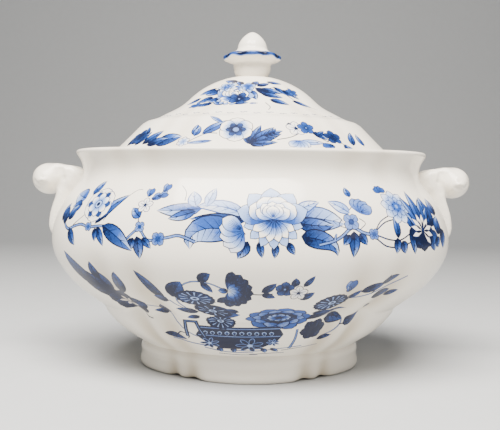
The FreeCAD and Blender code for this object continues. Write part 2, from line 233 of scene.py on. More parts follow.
class Form:
    """A lobed oval form: a smooth profile carried round an oval."""

    def __init__(self, profile, lobe_depth=1.0, notched=False, rim_dip=0.0):
        self.rows = np.zeros((len(profile), 5))
        for number, row in enumerate(profile):
            self.rows[number, :len(row)] = row
        self.rows[:, 2] *= lobe_depth
        self.notched = notched
        self.rim_dip = rim_dip
        self.steps = np.hypot(*np.diff(self.rows[:, :2], axis=0).T)
        self.knots = np.concatenate([[0.0], np.cumsum(self.steps)])
        self.length = self.knots[-1]
        self.bends = self.solve_bends()

    def solve_bends(self):
        """Second slopes at the knots of the natural cubic curve through the rows."""
        count = len(self.knots)
        matrix = np.eye(count)
        right = np.zeros_like(self.rows)
        slopes = np.diff(self.rows, axis=0) / self.steps[:, None]
        for k in range(1, count - 1):
            before, after = self.steps[k - 1], self.steps[k]
            matrix[k, k - 1:k + 2] = before, 2.0 * (before + after), after
            right[k] = 6.0 * (slopes[k] - slopes[k - 1])
        return np.linalg.solve(matrix, right)

    def section(self, along):
        """Height, half-length, crease, inset and lift at distances along the profile."""
        along = np.clip(along, 0.0, self.length)
        k = np.clip(np.searchsorted(self.knots, along, side="right") - 1, 0, len(self.steps) - 1)
        span = self.steps[k][:, None]
        before = (self.knots[k + 1] - along)[:, None]
        after = (along - self.knots[k])[:, None]
        bends, rows = self.bends, self.rows
        curve = (bends[k] * before**3 + bends[k + 1] * after**3) / (6.0 * span)
        curve += (rows[k] / span - bends[k] * span / 6.0) * before
        curve += (rows[k + 1] / span - bends[k + 1] * span / 6.0) * after
        return curve

    def place(self, angles, along):
        """Points on the surface, in mm."""
        height, half, crease, inset, lift = self.section(along).T
        turn = np.radians(angles)
        near = valley(angles)
        reach = half * (1.0 - crease * near - inset * np.sin(2.0 * turn) ** 2)
        x, y = reach * np.cos(turn), OVAL_RATIO * reach * np.sin(turn)
        near_rim = np.clip((height - RIM_FLARE) / (RIM_TOP - RIM_FLARE), 0.0, 1.0)
        z = height + lift * near - self.rim_dip * near_rim**2 * np.sin(turn) ** 2
        if self.notched:
            z = self.raise_notch(x, y, z)
        return np.stack([x, y, z], axis=-1)

    @staticmethod
    def raise_notch(x, y, z):
        """Lifts the rim and flange over the round notch that a ladle's stem passes through."""
        turn = math.radians(NOTCH_ANGLE)
        away = np.array([math.cos(turn), OVAL_RATIO * math.sin(turn)])
        away /= np.linalg.norm(away)
        out = x * away[0] + y * away[1]
        across = x * away[1] - y * away[0]
        arch = NOTCH_CENTRE + np.sqrt(np.clip(NOTCH_RADIUS**2 - across**2, 0.0, None))
        cut = (out > NOTCH_START) & (np.abs(across) < NOTCH_RADIUS) & (z < NOTCH_CEILING)
        return np.where(cut, np.maximum(z, arch), z)

    def facing(self, angles, along):
        """Unit normals, from the way that the surface runs round and up."""
        along = np.clip(along, 0.2, self.length - 0.2)
        round_way = self.place(angles + 0.1, along) - self.place(angles - 0.1, along)
        up_way = self.place(angles, along + 0.1) - self.place(angles, along - 0.1)
        normals = np.cross(round_way, up_way)
        return normals / np.maximum(np.linalg.norm(normals, axis=1), 1e-9)[:, None]

    def along_at(self, height, first, last):
        """Distance along the profile at which its face between two rows is at a height."""
        along = np.linspace(self.knots[first], self.knots[last], 400)
        return float(np.interp(height, self.section(along)[:, 0], along))

    def mm_per_degree(self, angle, along):
        """Length on the surface of one degree round the oval."""
        turn = np.radians(angle)
        half = self.section(np.atleast_1d(along))[:, 1]
        return np.radians(1.0) * half * np.sqrt(np.sin(turn) ** 2 + (OVAL_RATIO * np.cos(turn)) ** 2)


class Patch(NamedTuple):
    """Part of a form's surface: its points as angle and distance along, its triangles,
    and the ink at each triangle's three corners."""
    points: np.ndarray
    triangles: np.ndarray
    ink: np.ndarray


def rows_between(start, end, step):
    """Even distances from start to end, no further apart than step."""
    return np.linspace(start, end, max(2, math.ceil((end - start) / step) + 1))


def bare_patch(angles, along):
    """An unprinted patch: a plain net of the given columns and rows."""
    columns, rows = len(angles), len(along)
    points = np.stack(np.meshgrid(angles, along), axis=-1).reshape(-1, 2)
    corner = (np.arange(rows - 1)[:, None] * columns + np.arange(columns - 1)).ravel()
    below = np.stack([corner, corner + 1, corner + columns + 1], axis=1)
    above = np.stack([corner, corner + columns + 1, corner + columns], axis=1)
    triangles = np.concatenate([below, above])
    return Patch(points, triangles, np.zeros((len(triangles), 3)))


def turned_half(patch):
    """The same patch half a turn round the oval."""
    return patch._replace(points=patch.points + (180.0, 0.0))


def joined(patches):
    """One patch of several."""
    starts = np.cumsum([0] + [len(patch.points) for patch in patches[:-1]])
    return Patch(
        np.concatenate([patch.points for patch in patches]),
        np.concatenate([patch.triangles + start for patch, start in zip(patches, starts)]),
        np.concatenate([patch.ink for patch in patches]),
    )


def placed(name, data):
    """A new object in the scene."""
    item = bpy.data.objects.new(name, data)
    bpy.context.scene.collection.objects.link(item)
    return item


def mesh_object(name, places, faces, ink, normals=None):
    """A smooth mesh from points in mm, with its own normals where they are given. The
    corner colour "glaze" holds the ink in red, and in green the pooling of the glaze
    together with painted shade in the creases."""
    mesh = bpy.data.meshes.new(name)
    mesh.from_pydata((places * MM).tolist(), [], faces.tolist())
    mesh.shade_smooth()
    layer = mesh.color_attributes.new(name="glaze", type="FLOAT_COLOR", domain="CORNER")
    layer.data.foreach_set("color", ink.astype(np.float32).ravel())
    if normals is not None:
        mesh.normals_split_custom_set_from_vertices(normals.tolist())
    return placed(name, mesh)


def ware_piece(name, form, patches, closed_ring=False):
    """The closed mesh of a form from its patches, joined where they meet."""
    patch = joined(patches)
    angles, along = patch.points[:, 0] % 360.0, patch.points[:, 1]
    if closed_ring:
        along = np.where(along > form.length - 1e-6, 0.0, along)
    at_pole = form.section(along)[:, 1] < 1e-6
    keys = np.round(np.stack([np.where(at_pole, 0.0, angles), along], axis=1) * 1e4)
    _, first, merged = np.unique(keys, axis=0, return_index=True, return_inverse=True)
    triangles = merged.ravel()[patch.triangles]
    whole = (triangles != np.roll(triangles, 1, axis=1)).all(axis=1)
    angles, along = angles[first], along[first]
    # Green: pooled glaze together with painted shade, strongest in the deep creases between lobes.
    crease = form.section(along)[:, 2]
    pooled_and_shaded = np.clip(valley(angles) * crease / DEEPEST_CREASE, 0.0, 1.0)
    corners = np.ones((whole.sum(), 3, 4))
    corners[..., 0] = patch.ink[whole]
    corners[..., 1] = pooled_and_shaded[triangles[whole]]
    normals = form.facing(angles, along)
    return mesh_object(name, form.place(angles, along), triangles[whole], corners, normals)


# ---------------------------------------------------------------- the print

CHART_MM_PER_DEGREE = 2.0
PRINT_START, PRINT_END = -179.0, -1.0
BARE, FAINT, PALE, SOFT, MID, DEEP, DARK, FULL = 0.0, 0.1, 0.22, 0.38, 0.55, 0.72, 0.88, 1.0


class Shape(NamedTuple):
    """A closed outline in mm, filled with ink that changes evenly from root to tip."""
    outline: np.ndarray
    root: np.ndarray
    tip: np.ndarray
    inks: tuple


def shape(outline, inks, root=(0.0, 0.0), tip=None):
    """A filled outline. With one ink it is even."""
    outline = np.asarray(outline, float)
    inks = inks if isinstance(inks, tuple) else (inks, inks)
    tip = outline[len(outline) // 2] if tip is None else tip
    return Shape(outline, np.array(root, float), np.array(tip, float), inks)


def moved(shapes, turn=0.0, shift=(0.0, 0.0)):
    """The shapes turned clockwise by so many degrees, and then shifted."""
    c, s = math.cos(math.radians(turn)), math.sin(math.radians(turn))
    matrix = np.array([[c, -s], [s, c]])
    shift = np.array(shift)
    return [
        Shape(sh.outline @ matrix + shift, sh.root @ matrix + shift, sh.tip @ matrix + shift, sh.inks)
        for sh in shapes
    ]


def widened(shapes, factor):
    """The shapes stretched sideways."""
    wide = (factor, 1.0)
    return [Shape(sh.outline * wide, sh.root * wide, sh.tip * wide, sh.inks) for sh in shapes]


def arc_line(length, bend, count, curl=0.0):
    """A line that grows up from the origin and bends steadily to the right, in degrees.
    Curl is a further bend near its tip."""
    share = np.linspace(0.0, 1.0, count)
    turn = np.radians(bend) * share + np.radians(curl) * share**4
    step = length / (count - 1)
    points = np.stack([np.cumsum(np.sin(turn)), np.cumsum(np.cos(turn))], axis=1) * step
    return points - points[0]


def across_line(line):
    """Unit vectors to the right of a line at each of its points."""
    ahead = np.gradient(line, axis=0)
    right = np.stack([ahead[:, 1], -ahead[:, 0]], axis=1)
    return right / np.maximum(np.linalg.norm(right, axis=1), 1e-9)[:, None]


def swell(count, widest, round_tip=0.8):
    """Widths, 0 to 1, of a blade that is widest at a share of its length."""
    share = np.linspace(0.0, 1.0, count) ** (math.log(0.5) / math.log(widest))
    return np.sin(np.pi * share) ** round_tip


def band(line, left, right):
    """The outline between two offsets of a line."""
    side = across_line(line)
    return np.concatenate([line - side * left[:, None], (line + side * right[:, None])[::-1]])


def stroke(line, root_width, tip_width, inks):
    """A drawn line that changes width evenly."""
    half = np.linspace(root_width, tip_width, len(line)) / 2.0
    return shape(band(line, half, half), inks, line[0], line[-1])


def eased(points, per_side=4):
    """A smooth line through a few points."""
    points = np.array(points, float)
    ends = np.concatenate([[2 * points[0] - points[1]], points, [2 * points[-1] - points[-2]]])
    share = np.arange(per_side)[:, None] / per_side
    parts = []
    for a, b, c, d in zip(ends, ends[1:], ends[2:], ends[3:]):
        bend = 2 * a - 5 * b + 4 * c - d, -a + 3 * b - 3 * c + d
        parts.append(b + 0.5 * ((c - a) * share + bend[0] * share**2 + bend[1] * share**3))
    return np.concatenate(parts + [points[-1:]])


def leaf(length, width, bend, ink, veins, widest=0.42, curl=0.0, wash=0.1):
    """A veined leaf: dark edge and midrib, one half deep and the other washed. Wash is
    that half's ink at the tip, as a share."""
    count = 11 if curl else 9 if length > 14.0 else 7
    line = arc_line(length, bend, count, curl)
    body = swell(count, widest) * width / 2.0
    edge = min(0.75, width * 0.09) + 0.12
    inner = np.clip(body - edge, 0.0, None)
    rib = np.minimum(np.linspace(0.45, 0.12, count) * min(1.0, width / 7.0), inner)
    dark = min(1.0, ink + 0.4)
    shapes = [
        shape(band(line, body, body), (dark, dark)),
        shape(band(line, inner, -rib), (min(1.0, ink * 1.3), ink * wash)),
        shape(band(line, -rib, inner), (min(1.0, ink * 1.5), ink * 0.55)),
    ]
    side = across_line(line)
    for number in range(veins):
        k = 0.7 + (count - 3.2) * (number + 0.5) / veins
        for hand in (-1.0, 1.0):
            root = sample(line, k)
            reach = sample(inner, k + 0.9) * 0.9
            tip = sample(line, k + 1.3) + sample(side, k + 1.0) * hand * reach
            middle = (root + tip) / 2.0 - sample(side, k) * hand * 0.1
            shapes.append(stroke(np.array([root, middle, tip]), 0.5, 0.14, (dark, dark * 0.8)))
    return shapes


def sample(values, place):
    """A value between two entries of a list."""
    k = int(min(max(place, 0.0), len(values) - 1.001))
    share = min(place - k, 1.0)
    return values[k] * (1.0 - share) + values[k + 1] * share


def petal(length, width, inks, edge, rays, frill=0.0, blunt=0.62):
    """A petal with a fine edge, paler at its tip, with rays drawn up from its root."""
    count = 9 if length > 9.0 else 7
    line = arc_line(length, 0.0, count)
    body = swell(count, 0.6, blunt) * width / 2.0
    line = line * (1.0 + frill * np.cos(np.linspace(0.0, 9.0, count)))[:, None]
    inner = np.clip(body - 0.36, 0.0, None)
    inside = line * (1.0 - 0.45 / length)
    shapes = [
        shape(band(line, body, body), edge),
        shape(band(inside, inner, inner), inks, (0.0, 0.0), (0.0, length * 0.8)),
    ]
    for number in range(rays):
        lean = (number + 0.5) / rays - 0.5
        far = np.array([lean * width * 0.66, length * (0.74 - 0.3 * abs(lean))])
        shapes.append(stroke(np.array([far * 0.2, far * 0.62, far]), 0.55, 0.12, (edge, edge * 0.7)))
    return shapes


def petals(count, length, width, start=0.0, sweep=360.0, **looks):
    """A ring, or part of a ring, of petals around a centre."""
    step = sweep / count if sweep >= 360.0 else sweep / max(1, count - 1)
    shapes = []
    for number in range(count):
        shapes += moved(petal(length, width, **looks), start + step * number)
    return shapes


def disc(radius, ink, lobes=0, depth=0.12, squash=1.0, count=18):
    """A round or scalloped spot."""
    turn = np.linspace(0.0, 2.0 * np.pi, count, endpoint=False)
    reach = radius * (1.0 + depth * np.cos(lobes * turn)) if lobes else radius + 0.0 * turn
    outline = np.stack([reach * np.sin(turn), reach * np.cos(turn) * squash], axis=1)
    return shape(outline, ink, (0.0, -radius), (0.0, radius))


def heart(radius, ink=DARK, dots=7):
    """A flower's centre: a dark eye ringed with small stamens."""
    shapes = [disc(radius, ink), disc(radius * 0.55, SOFT, count=10)]
    for number in range(dots):
        turn = 2.0 * math.pi * number / dots
        spot = (math.sin(turn) * radius * 1.25, math.cos(turn) * radius * 1.25)
        shapes += moved([disc(radius * 0.22, FULL, count=6)], 0.0, spot)
    return shapes


def star_flower(radius, ink):
    """A small open flower with five pointed petals, drawn in outline."""
    shapes = petals(5, radius, radius * 0.78, inks=(FAINT, BARE), edge=ink, rays=1)
    return shapes + [disc(radius * 0.24, DARK, 5, 0.5, count=15)]


def round_flower(radius):
    """A round flower: white frilled petals, each with a dark tongue from the eye."""
    shapes = petals(6, radius, radius * 1.05, inks=(SOFT, BARE), edge=DEEP, rays=0, frill=0.02)
    shapes += petals(6, radius * 0.82, radius * 0.42, start=30.0, inks=(FULL, DEEP), edge=FULL, rays=0)
    shapes += petals(6, radius * 0.7, radius * 0.46, inks=(MID, BARE), edge=DEEP, rays=0)
    return shapes + [disc(radius * 0.26, DEEP, count=12), disc(radius * 0.2, PALE, count=12),
                     disc(radius * 0.12, FULL, count=9)]


def daisy(radius, ink=DEEP, count=9):
    """A daisy with two rows of narrow washed petals and a dotted eye."""
    shapes = petals(count, radius, radius * 0.6, inks=(MID, FAINT), edge=ink, rays=3)
    shapes += petals(count, radius * 0.66, radius * 0.34, start=20.0, inks=(DEEP, PALE), edge=ink, rays=0)
    return shapes + heart(radius * 0.2, MID, 6)


def bud(length, width, ink=DEEP):
    """A closed bud in its green cup."""
    shapes = moved(petal(length, width * 0.8, inks=(ink, SOFT), edge=DARK, rays=1), -14.0)
    shapes += moved(petal(length, width * 0.8, inks=(ink, MID), edge=DARK, rays=1), 14.0)
    return shapes + moved(leaf(length * 0.55, width * 0.55, 0.0, DARK, 0), -24.0)


def peony(radius, shade):
    """A full flower: pointed outer petals, a closed bowl of small ones, and a skirt
    of long petals that hang below it."""
    deep = min(1.0, DEEP + shade)
    mid = min(1.0, MID + shade)
    pale = min(1.0, FAINT + shade * 0.5)
    shapes = petals(7, radius * 1.02, radius * 0.42, 106.0, 148.0, inks=(FULL, pale), edge=FULL, rays=5)
    shapes += petals(6, radius * 0.8, radius * 0.36, 120.0, 120.0, inks=(DARK, BARE), edge=DARK, rays=4)
    shapes += petals(5, radius * 1.22, radius * 0.78, -76.0, 150.0, inks=(deep, pale), edge=DARK, rays=9,
                     blunt=0.8)
    shapes += petals(4, radius * 0.92, radius * 0.74, -58.0, 116.0, inks=(deep, BARE), edge=DARK, rays=7,
                     frill=0.03)
    cup = petals(5, radius * 0.66, radius * 0.46, -60.0, 120.0, inks=(MID, BARE), edge=mid, rays=3)
    cup += petals(2, radius * 0.54, radius * 0.46, -26.0, 52.0, inks=(SOFT, BARE), edge=mid, rays=3)
    cup += petals(1, radius * 0.5, radius * 0.46, 0.0, 0.0, inks=(SOFT, BARE), edge=mid, rays=5, blunt=0.8)
    return shapes + cup


def carnation(radius):
    """A carnation from the side: a pale base under ruffled dark petals."""
    shapes = petals(9, radius, radius * 0.42, -84.0, 168.0, inks=(DEEP, DARK), edge=FULL, rays=1, frill=0.05)
    shapes += petals(7, radius * 0.72, radius * 0.34, -72.0, 144.0, inks=(SOFT, DARK), edge=FULL, rays=1)
    shapes += petals(5, radius * 0.46, radius * 0.26, -60.0, 120.0, inks=(BARE, MID), edge=DARK, rays=0)
    return shapes + moved(leaf(radius * 0.4, radius * 0.3, 0.0, DARK, 0), 180.0)


def wheel(width, squash, ink=DARK, spokes=13):
    """A round seed head seen at a slant: a beaded rim and pale wedges around an eye."""
    shapes = [disc(width, FULL, 18, 0.04, squash, 54), disc(width * 0.86, ink, 0, 0.0, squash, 24)]
    for number in range(spokes):
        turn = 360.0 * number / spokes
        wedge = shape([(0.0, width * 0.3), (-width * 0.05, width * 0.78), (width * 0.05, width * 0.78)],
                      (PALE, SOFT), (0.0, 0.0), (0.0, width))
        outline = moved([wedge], turn)[0]
        shapes.append(outline._replace(outline=outline.outline * (1.0, squash)))
    eye = [disc(width * 0.22, PALE, 0, 0.0, squash, 12), disc(width * 0.12, FULL, 0, 0.0, squash, 9)]
    return shapes + eye


def spiky_flower(size):
    """A thistle-like flower: tall dark blades over a white star and round dark petals."""
    shapes = []
    blades = ((-44, 1.2, 0.42), (38, 1.3, 0.5), (-24, 1.75, 0.5), (20, 1.6, 0.5), (-2, 1.9, 0.56))
    for turn, reach, wide in blades:
        shapes += moved(leaf(size * reach, size * wide, 8.0, DARK * 0.8, 0), turn)
    shapes += petals(5, size * 0.86, size * 0.7, 96.0, 168.0, inks=(FULL, DARK), edge=FULL, rays=0)
    thin = {"rays": 0, "blunt": 1.0}
    shapes += petals(9, size * 0.78, size * 0.24, -100.0, 240.0, inks=(BARE, BARE), edge=DEEP, **thin)
    return shapes + petals(7, size * 0.5, size * 0.12, -90.0, 220.0, inks=(FULL, DARK), edge=FULL, **thin)


def serrated_leaf(length, width, ink, blades):
    """A leaf cut deep into pointed blades."""
    shapes = leaf(length, width * 0.42, 6.0, ink, 0)
    for number in range(blades):
        up = length * (0.06 + 0.6 * number / blades)
        reach = width * (0.62 - 0.06 * number)
        for hand in (-1, 1):
            blade = moved(leaf(reach, width * 0.24, -18.0 * hand, ink, 0), hand * 46.0)
            shapes += moved(blade, 0.0, (0.0, up))
    return shapes


def knot(size, ink=MID):
    """A blossom-shaped knot on a branch."""
    shapes = petals(4, size * 1.15, size * 1.15, 45.0, inks=(ink, SOFT), edge=FULL, rays=1)
    return shapes + [disc(size * 0.4, DEEP, count=9)]


def inside(x, y, outline):
    """Whether each point is within an outline that may cross itself."""
    x1, y1 = outline.T
    x2, y2 = np.roll(outline, -1, axis=0).T
    side = (x2 - x1) * (y[:, None] - y1) - (y2 - y1) * (x[:, None] - x1)
    rising = (y1 <= y[:, None]) & (y2 > y[:, None]) & (side > 0)
    falling = (y1 > y[:, None]) & (y2 <= y[:, None]) & (side < 0)
    return rising.sum(axis=1) != falling.sum(axis=1)


class Print:
    """A print laid on the front half of a form, as an ordered list of inked shapes."""

    def __init__(self, form, columns, first_row, last_row, low, high):
        self.form = form
        self.columns = columns[columns <= 0.0]
        self.rows = first_row, last_row
        self.low = form.along_at(low, first_row, last_row)
        self.high = form.along_at(high, first_row, last_row)
        self.outlines = []
        self.ramps = []

    def along(self, height):
        return self.form.along_at(height, *self.rows)

    def on_chart(self, points, angle, along):
        """Flat points in mm, laid on the form around one place, as chart points."""
        rows = np.clip(along + points[:, 1], self.low + 0.4, self.high - 0.4)
        angles = angle + points[:, 0] / self.form.mm_per_degree(angle, rows)
        return np.stack([np.clip(angles, PRINT_START, PRINT_END) * CHART_MM_PER_DEGREE, rows], axis=1)

    def lay(self, angle, height, shapes, turn=0.0):
        """Prints shapes at an angle in degrees and a height in mm."""
        along = self.along(height)
        for sh in moved(shapes, turn):
            points = self.on_chart(np.concatenate([sh.outline, [sh.root, sh.tip]]), angle, along)
            self.outlines.append(points[:-2])
            self.ramps.append((*points[-2], *points[-1], *sh.inks))

    def vine(self, places, root_width, tip_width, inks=DEEP):
        """Prints a stem through a few places, each an angle and a height."""
        angle, height = places[0]
        along = self.along(height)
        scale = float(self.form.mm_per_degree(angle, along)[0])
        flat = [((a - angle) * scale, self.along(h) - along) for a, h in places]
        rows = np.array([self.along(h) for _, h in places])
        stretch = self.form.mm_per_degree(angle, rows) / scale
        flat = np.array(flat) * np.stack([stretch, np.ones(len(rows))], axis=1)
        line = eased(flat, 3)
        self.lay(angle, height, [stroke(line, root_width, tip_width, inks)])
        if root_width > 1.0:
            self.lay(angle, height, [stroke(line, root_width * 0.45, tip_width * 0.45, SOFT)])

    def patch(self):
        """The printed surface: a net cut along every outline, with the ink of the
        topmost outline at each triangle."""
        net = self.net()
        starts = np.cumsum([len(net)] + [len(outline) for outline in self.outlines])
        edges = []
        for start, end in zip(starts, starts[1:]):
            edges += [(k, k + 1) for k in range(start, end - 1)] + [(end - 1, start)]
        flat = [Vector(point) for point in np.concatenate([net, *self.outlines])]
        cut = delaunay_2d_cdt(flat, edges, [], 0, 1e-4, False)
        places = np.array([tuple(point) for point in cut[0]])
        triangles = np.array(cut[2])
        ink = self.ink_at(places[triangles], self.topmost(places[triangles].mean(axis=1)))
        return Patch(places / (CHART_MM_PER_DEGREE, 1.0), triangles, ink)

    def topmost(self, centres):
        """The number of the last outline around each point, or -1 where there is none."""
        order = np.argsort(centres[:, 0])
        x, y = centres[order].T
        top = np.full(len(centres), -1)
        for number, outline in enumerate(self.outlines):
            low, high = outline.min(axis=0), outline.max(axis=0)
            first, last = np.searchsorted(x, (low[0], high[0]))
            near = first + np.flatnonzero((y[first:last] > low[1]) & (y[first:last] < high[1]))
            top[order[near[inside(x[near], y[near], outline)]]] = number
        return top

    def net(self):
        """The plain net under the print, on the chart."""
        rows = rows_between(self.low, self.high, PRINT_ROW)
        grid = np.stack(np.meshgrid(self.columns * CHART_MM_PER_DEGREE, rows), axis=-1)
        return grid.reshape(-1, 2)

    def ink_at(self, corners, top):
        """Ink at each corner, from its topmost shape's root and tip inks."""
        ramps = np.array(self.ramps)[top]
        root, tip = ramps[:, None, 0:2], ramps[:, None, 2:4]
        axis = tip - root
        span = np.maximum((axis**2).sum(axis=-1), 1e-6)
        share = np.clip(((corners - root) * axis).sum(axis=-1) / span, 0.0, 1.0)
        ink = ramps[:, None, 4] * (1.0 - share) + ramps[:, None, 5] * share
        return np.where(top[:, None] < 0, 0.0, ink)


# Leaves: angle and height of the root, the way it points (0 up, 90 to the right),
# length, width, bend and ink. Stems: the angle and height of each place that they
# run through, and their width at both ends.
GARLAND_BACK_LEAVES = (
    (-78.5, 112.5, 92, 30, 16, 12, SOFT), (-79, 109, 104, 24, 10, -18, DEEP),
    (-79, 114, 44, 18, 8, 34, PALE), (-91, 112.5, -52, 32, 10, -50, PALE),
    (-91, 109.5, -84, 34, 8.5, -8, DEEP), (-92, 106, -98, 22, 9, -10, DEEP),
    (-90.5, 98, 205, 12, 8, 10, DARK), (-88, 98, 168, 10, 5, 0, DARK),
    (-84, 97, 184, 9, 5, 0, DARK), (-81.5, 97.5, 140, 9, 5, 10, DARK),
)
GARLAND_LEAVES = (
    (-102, 116.5, -97, 29, 10, 6, SOFT), (-103.5, 115, -114, 18, 7, 12, MID),
    (-103.6, 117.5, -26, 12, 9, 14, PALE), (-101, 118, 12, 14, 7, 8, PALE),
    (-118.5, 99.5, 162, 14, 8, 20, DARK), (-117, 98.5, 128, 9, 5, 10, DARK),
    (-119.5, 98.5, 200, 8, 6, 0, DARK),
    (-118.3, 110.5, -58, 10, 7, 14, MID), (-130.5, 105, 110, 29, 11, 20, DEEP),
    (-132.5, 104, 140, 14, 6, 16, DARK), (-133, 103.5, 176, 9, 5, 0, DARK),
    (-146, 102, 146, 14, 8, -10, DARK), (-133.5, 105.5, 30, 29, 8, 22, DEEP),
    (-143, 121.5, -84, 15, 14, 12, SOFT), (-143, 117.5, -106, 12, 9, 10, MID),
    (-140.5, 123.5, 6, 13, 7, 28, MID), (-150, 104, -6, 15, 9, -24, DARK),
    (-148, 107, 26, 13, 8, 10, DEEP), (-153, 106, 8, 14, 8, 12, DARK),
    (-64.4, 114.5, -46, 15, 8, -20, PALE), (-62.9, 124, -6, 8, 5, 0, MID),
    (-64.2, 104, 178, 16, 8, 6, DARK), (-62.8, 102.5, 136, 9, 6, 10, DARK),
    (-65.4, 102, 210, 8, 6, 10, DARK),
    (-50.3, 99, 10, 15, 6, -20, DARK), (-50.6, 99.5, 172, 10, 7, 16, DARK),
    (-48.8, 97.5, 150, 9, 7, 10, DARK), (-44.5, 106, 176, 18, 8, -12, DARK),
    (-43, 104, -16, 14, 8, -16, DARK),
    (-34, 105, 20, 18, 13, -14, DARK), (-34, 104, 172, 15, 14, -10, FULL),
    (-30, 100, 20, 14, 12, 10, DARK), (-36, 110, 30, 18, 11, -20, DEEP),
    (-28, 112, 4, 14, 12, -8, DEEP), (-26, 104, 172, 14, 12, 0, DARK),
    (-31, 99, 160, 8, 9, 0, DARK),
)
GARLAND_STEMS = (
    (((-103, 97), (-107, 100.5), (-109.5, 99.5), (-112.5, 98), (-115.5, 97.5), (-118.2, 103.5),
      (-121.5, 97.5)), 2.3, 1.9),
    (((-128, 104.8), (-132, 104.5), (-136, 103.5), (-139.5, 105), (-143, 103.5), (-146.5, 101.5),
      (-149.5, 104.5), (-151, 110), (-151.5, 116)), 2, 2.6),
    (((-118, 104.5), (-118.8, 109.5), (-118.2, 115)), 0.9, 0.6),
    (((-73.5, 96), (-70, 98), (-67.5, 101), (-64.5, 106), (-61.5, 103),
      (-58.5, 101.5)), 2.2, 2.5),
    (((-69.5, 99), (-69, 102.5)), 2.2, 1.1),
    (((-58, 103), (-55.5, 109.5), (-51.5, 113.5)), 0.8, 0.7),
    (((-57.5, 104), (-54, 109), (-49.5, 111)), 0.9, 0.8),
    (((-57.5, 99), (-54.5, 94.5), (-50, 93.5), (-46.5, 95.5), (-43, 98)), 1, 0.9),
    (((-57, 101), (-53.5, 98.5), (-49.5, 98), (-45.5, 101.5)), 1, 0.9),
    (((-64.3, 110), (-65, 114.5), (-63, 119)), 0.7, 0.5),
    (((-144, 104), (-141, 108.5), (-138.5, 112)), 0.7, 0.5),
    (((-107, 121), (-107.2, 126), (-109, 130)), 0.5, 0.3),
    (((-130.5, 108), (-126.5, 119), (-123, 126.5), (-121, 127.5)), 0.5, 0.4),
    (((-67, 111), (-68, 107.5), (-65.8, 105.5)), 0.6, 0.5),
    (((-62, 111.5), (-60.4, 108.5), (-62.2, 105)), 0.6, 0.5),
)
# The lower bunch is inked nearly all full or dark, partly as painted shade over the lower belly.
VASE_LEAVES = (
    (-132, 57, -50, 36, 11, 8, FULL), (-137.5, 65, -52, 32, 9, 10, FULL),
    (-134, 62, -20, 17, 8, 6, FULL), (-129, 62, 4, 16, 8, 8, FULL),
    (-114, 60, -40, 25, 6, 8, FULL), (-111.6, 62.5, 28, 14, 9, 12, FULL),
    (-113.2, 59.5, -66, 10, 5, -10, FULL), (-118, 46.5, -16, 12, 6, 16, FULL),
    (-118.5, 46, -70, 9, 4.5, 10, FULL), (-103, 73.2, 40, 9, 5, 24, FULL),
    (-102.5, 72.8, 134, 9, 3.5, 10, DARK), (-105.5, 52.5, -84, 13, 5, 8, FULL),
    (-106, 49.5, -120, 9, 4, 10, DARK), (-104.5, 56.5, 104, 20, 7, 12, FULL),
    (-102, 51.5, 98, 16, 7, -10, DARK), (-87, 67, 60, 10, 4, -16, FULL),
    (-87, 65.8, 104, 8, 3.5, 10, FULL), (-78.4, 70.5, -4, 6, 4, 0, FULL),
    (-76.3, 70.5, 42, 9, 3, -10, DARK), (-76.3, 62, 52, 9, 4, 0, FULL),
    (-72.5, 47.5, 62, 27, 6, 20, FULL), (-54.8, 42.5, 52, 11, 4, -14, FULL),
    (-55, 41.5, 74, 12, 5, -14, FULL), (-57.6, 65.5, 62, 15, 5, 10, FULL),
    (-51.8, 70.5, 58, 13, 4, 12, FULL), (-52.8, 61, 58, 14, 6, 12, FULL),
    (-51.5, 56, 140, 9, 4, 0, DARK), (-124.5, 34, 100, 14, 4, 12, FULL),
    (-62.5, 31.5, 70, 9, 3.5, 0, FULL), (-93, 53, -70, 10, 4, -14, FULL),
    (-143, 72, -20, 9, 3, 0, DARK), (-136.5, 70, -6, 12, 5, 10, DARK),
    (-47, 62, 66, 9, 4, 0, DARK), (-60.5, 61, 40, 9, 3, 0, DARK),
    (-70.5, 52, 84, 12, 4, 0, DARK), (-99, 60, 60, 9, 4, 0, DARK),
)
VASE_STEMS = (
    (((-109, 55), (-110.6, 60), (-109, 68), (-105, 73), (-100.5, 72.5),
      (-96.5, 68.5)), 0.7, 0.8),
    (((-127.5, 56.5), (-121.5, 51.5), (-117.5, 45.5), (-113, 37.5), (-109.5, 34)), 0.7, 0.7),
    (((-67, 59.5), (-61, 61), (-56.5, 62.5), (-51.5, 66.5), (-46.5, 70), (-42.5, 74.5)), 0.8, 0.6),
    (((-61.5, 61), (-60, 64), (-57.8, 66)), 0.5, 0.4),
    (((-54, 64), (-52, 71), (-49.5, 76)), 0.5, 0.3),
    (((-61, 46.5), (-56.5, 45.5), (-55.8, 41), (-57.5, 36), (-62, 32.5)), 0.6, 0.5),
    (((-56, 41), (-52, 43), (-47.5, 47.5)), 0.4, 0.3),
    (((-113, 60), (-111.5, 57), (-109.5, 54.5)), 0.6, 0.6),
    (((-118.5, 34), (-116, 36), (-113, 34.5), (-114, 32)), 0.5, 0.4),
    (((-84, 66), (-87.5, 65.5), (-90, 66)), 0.5, 0.4),
    (((-130, 50), (-129, 45), (-126, 43.5)), 0.4, 0.3),
)
GROUND_STROKES = (
    (((-122, 31), (-113, 28.5), (-106, 27)), 0.9, 1.4),
    (((-109, 25.5), (-100, 22.5), (-88, 22)), 1.4, 0.8),
    (((-104, 21), (-94, 20), (-86, 20.5)), 0.6, 0.5),
    (((-98, 24.5), (-88, 23.5), (-78, 25.5), (-68, 27.5)), 1.2, 0.6),
    (((-90, 20.5), (-82, 21.5), (-74, 22)), 0.6, 0.5),
    (((-76, 24), (-68, 26), (-60, 27.5)), 0.6, 0.4),
)


def lay_leaves(ink, rows, veins=2, longer=1.0, wider=1.0, darker=0.0, wash=0.1):
    """Prints a table of leaves, made longer, wider and darker by these amounts."""
    for angle, height, turn, length, width, bend, tone in rows:
        tone = min(1.0, tone + darker)
        ink.lay(angle, height, leaf(length * longer, width * wider, bend, tone, veins, wash=wash), turn)


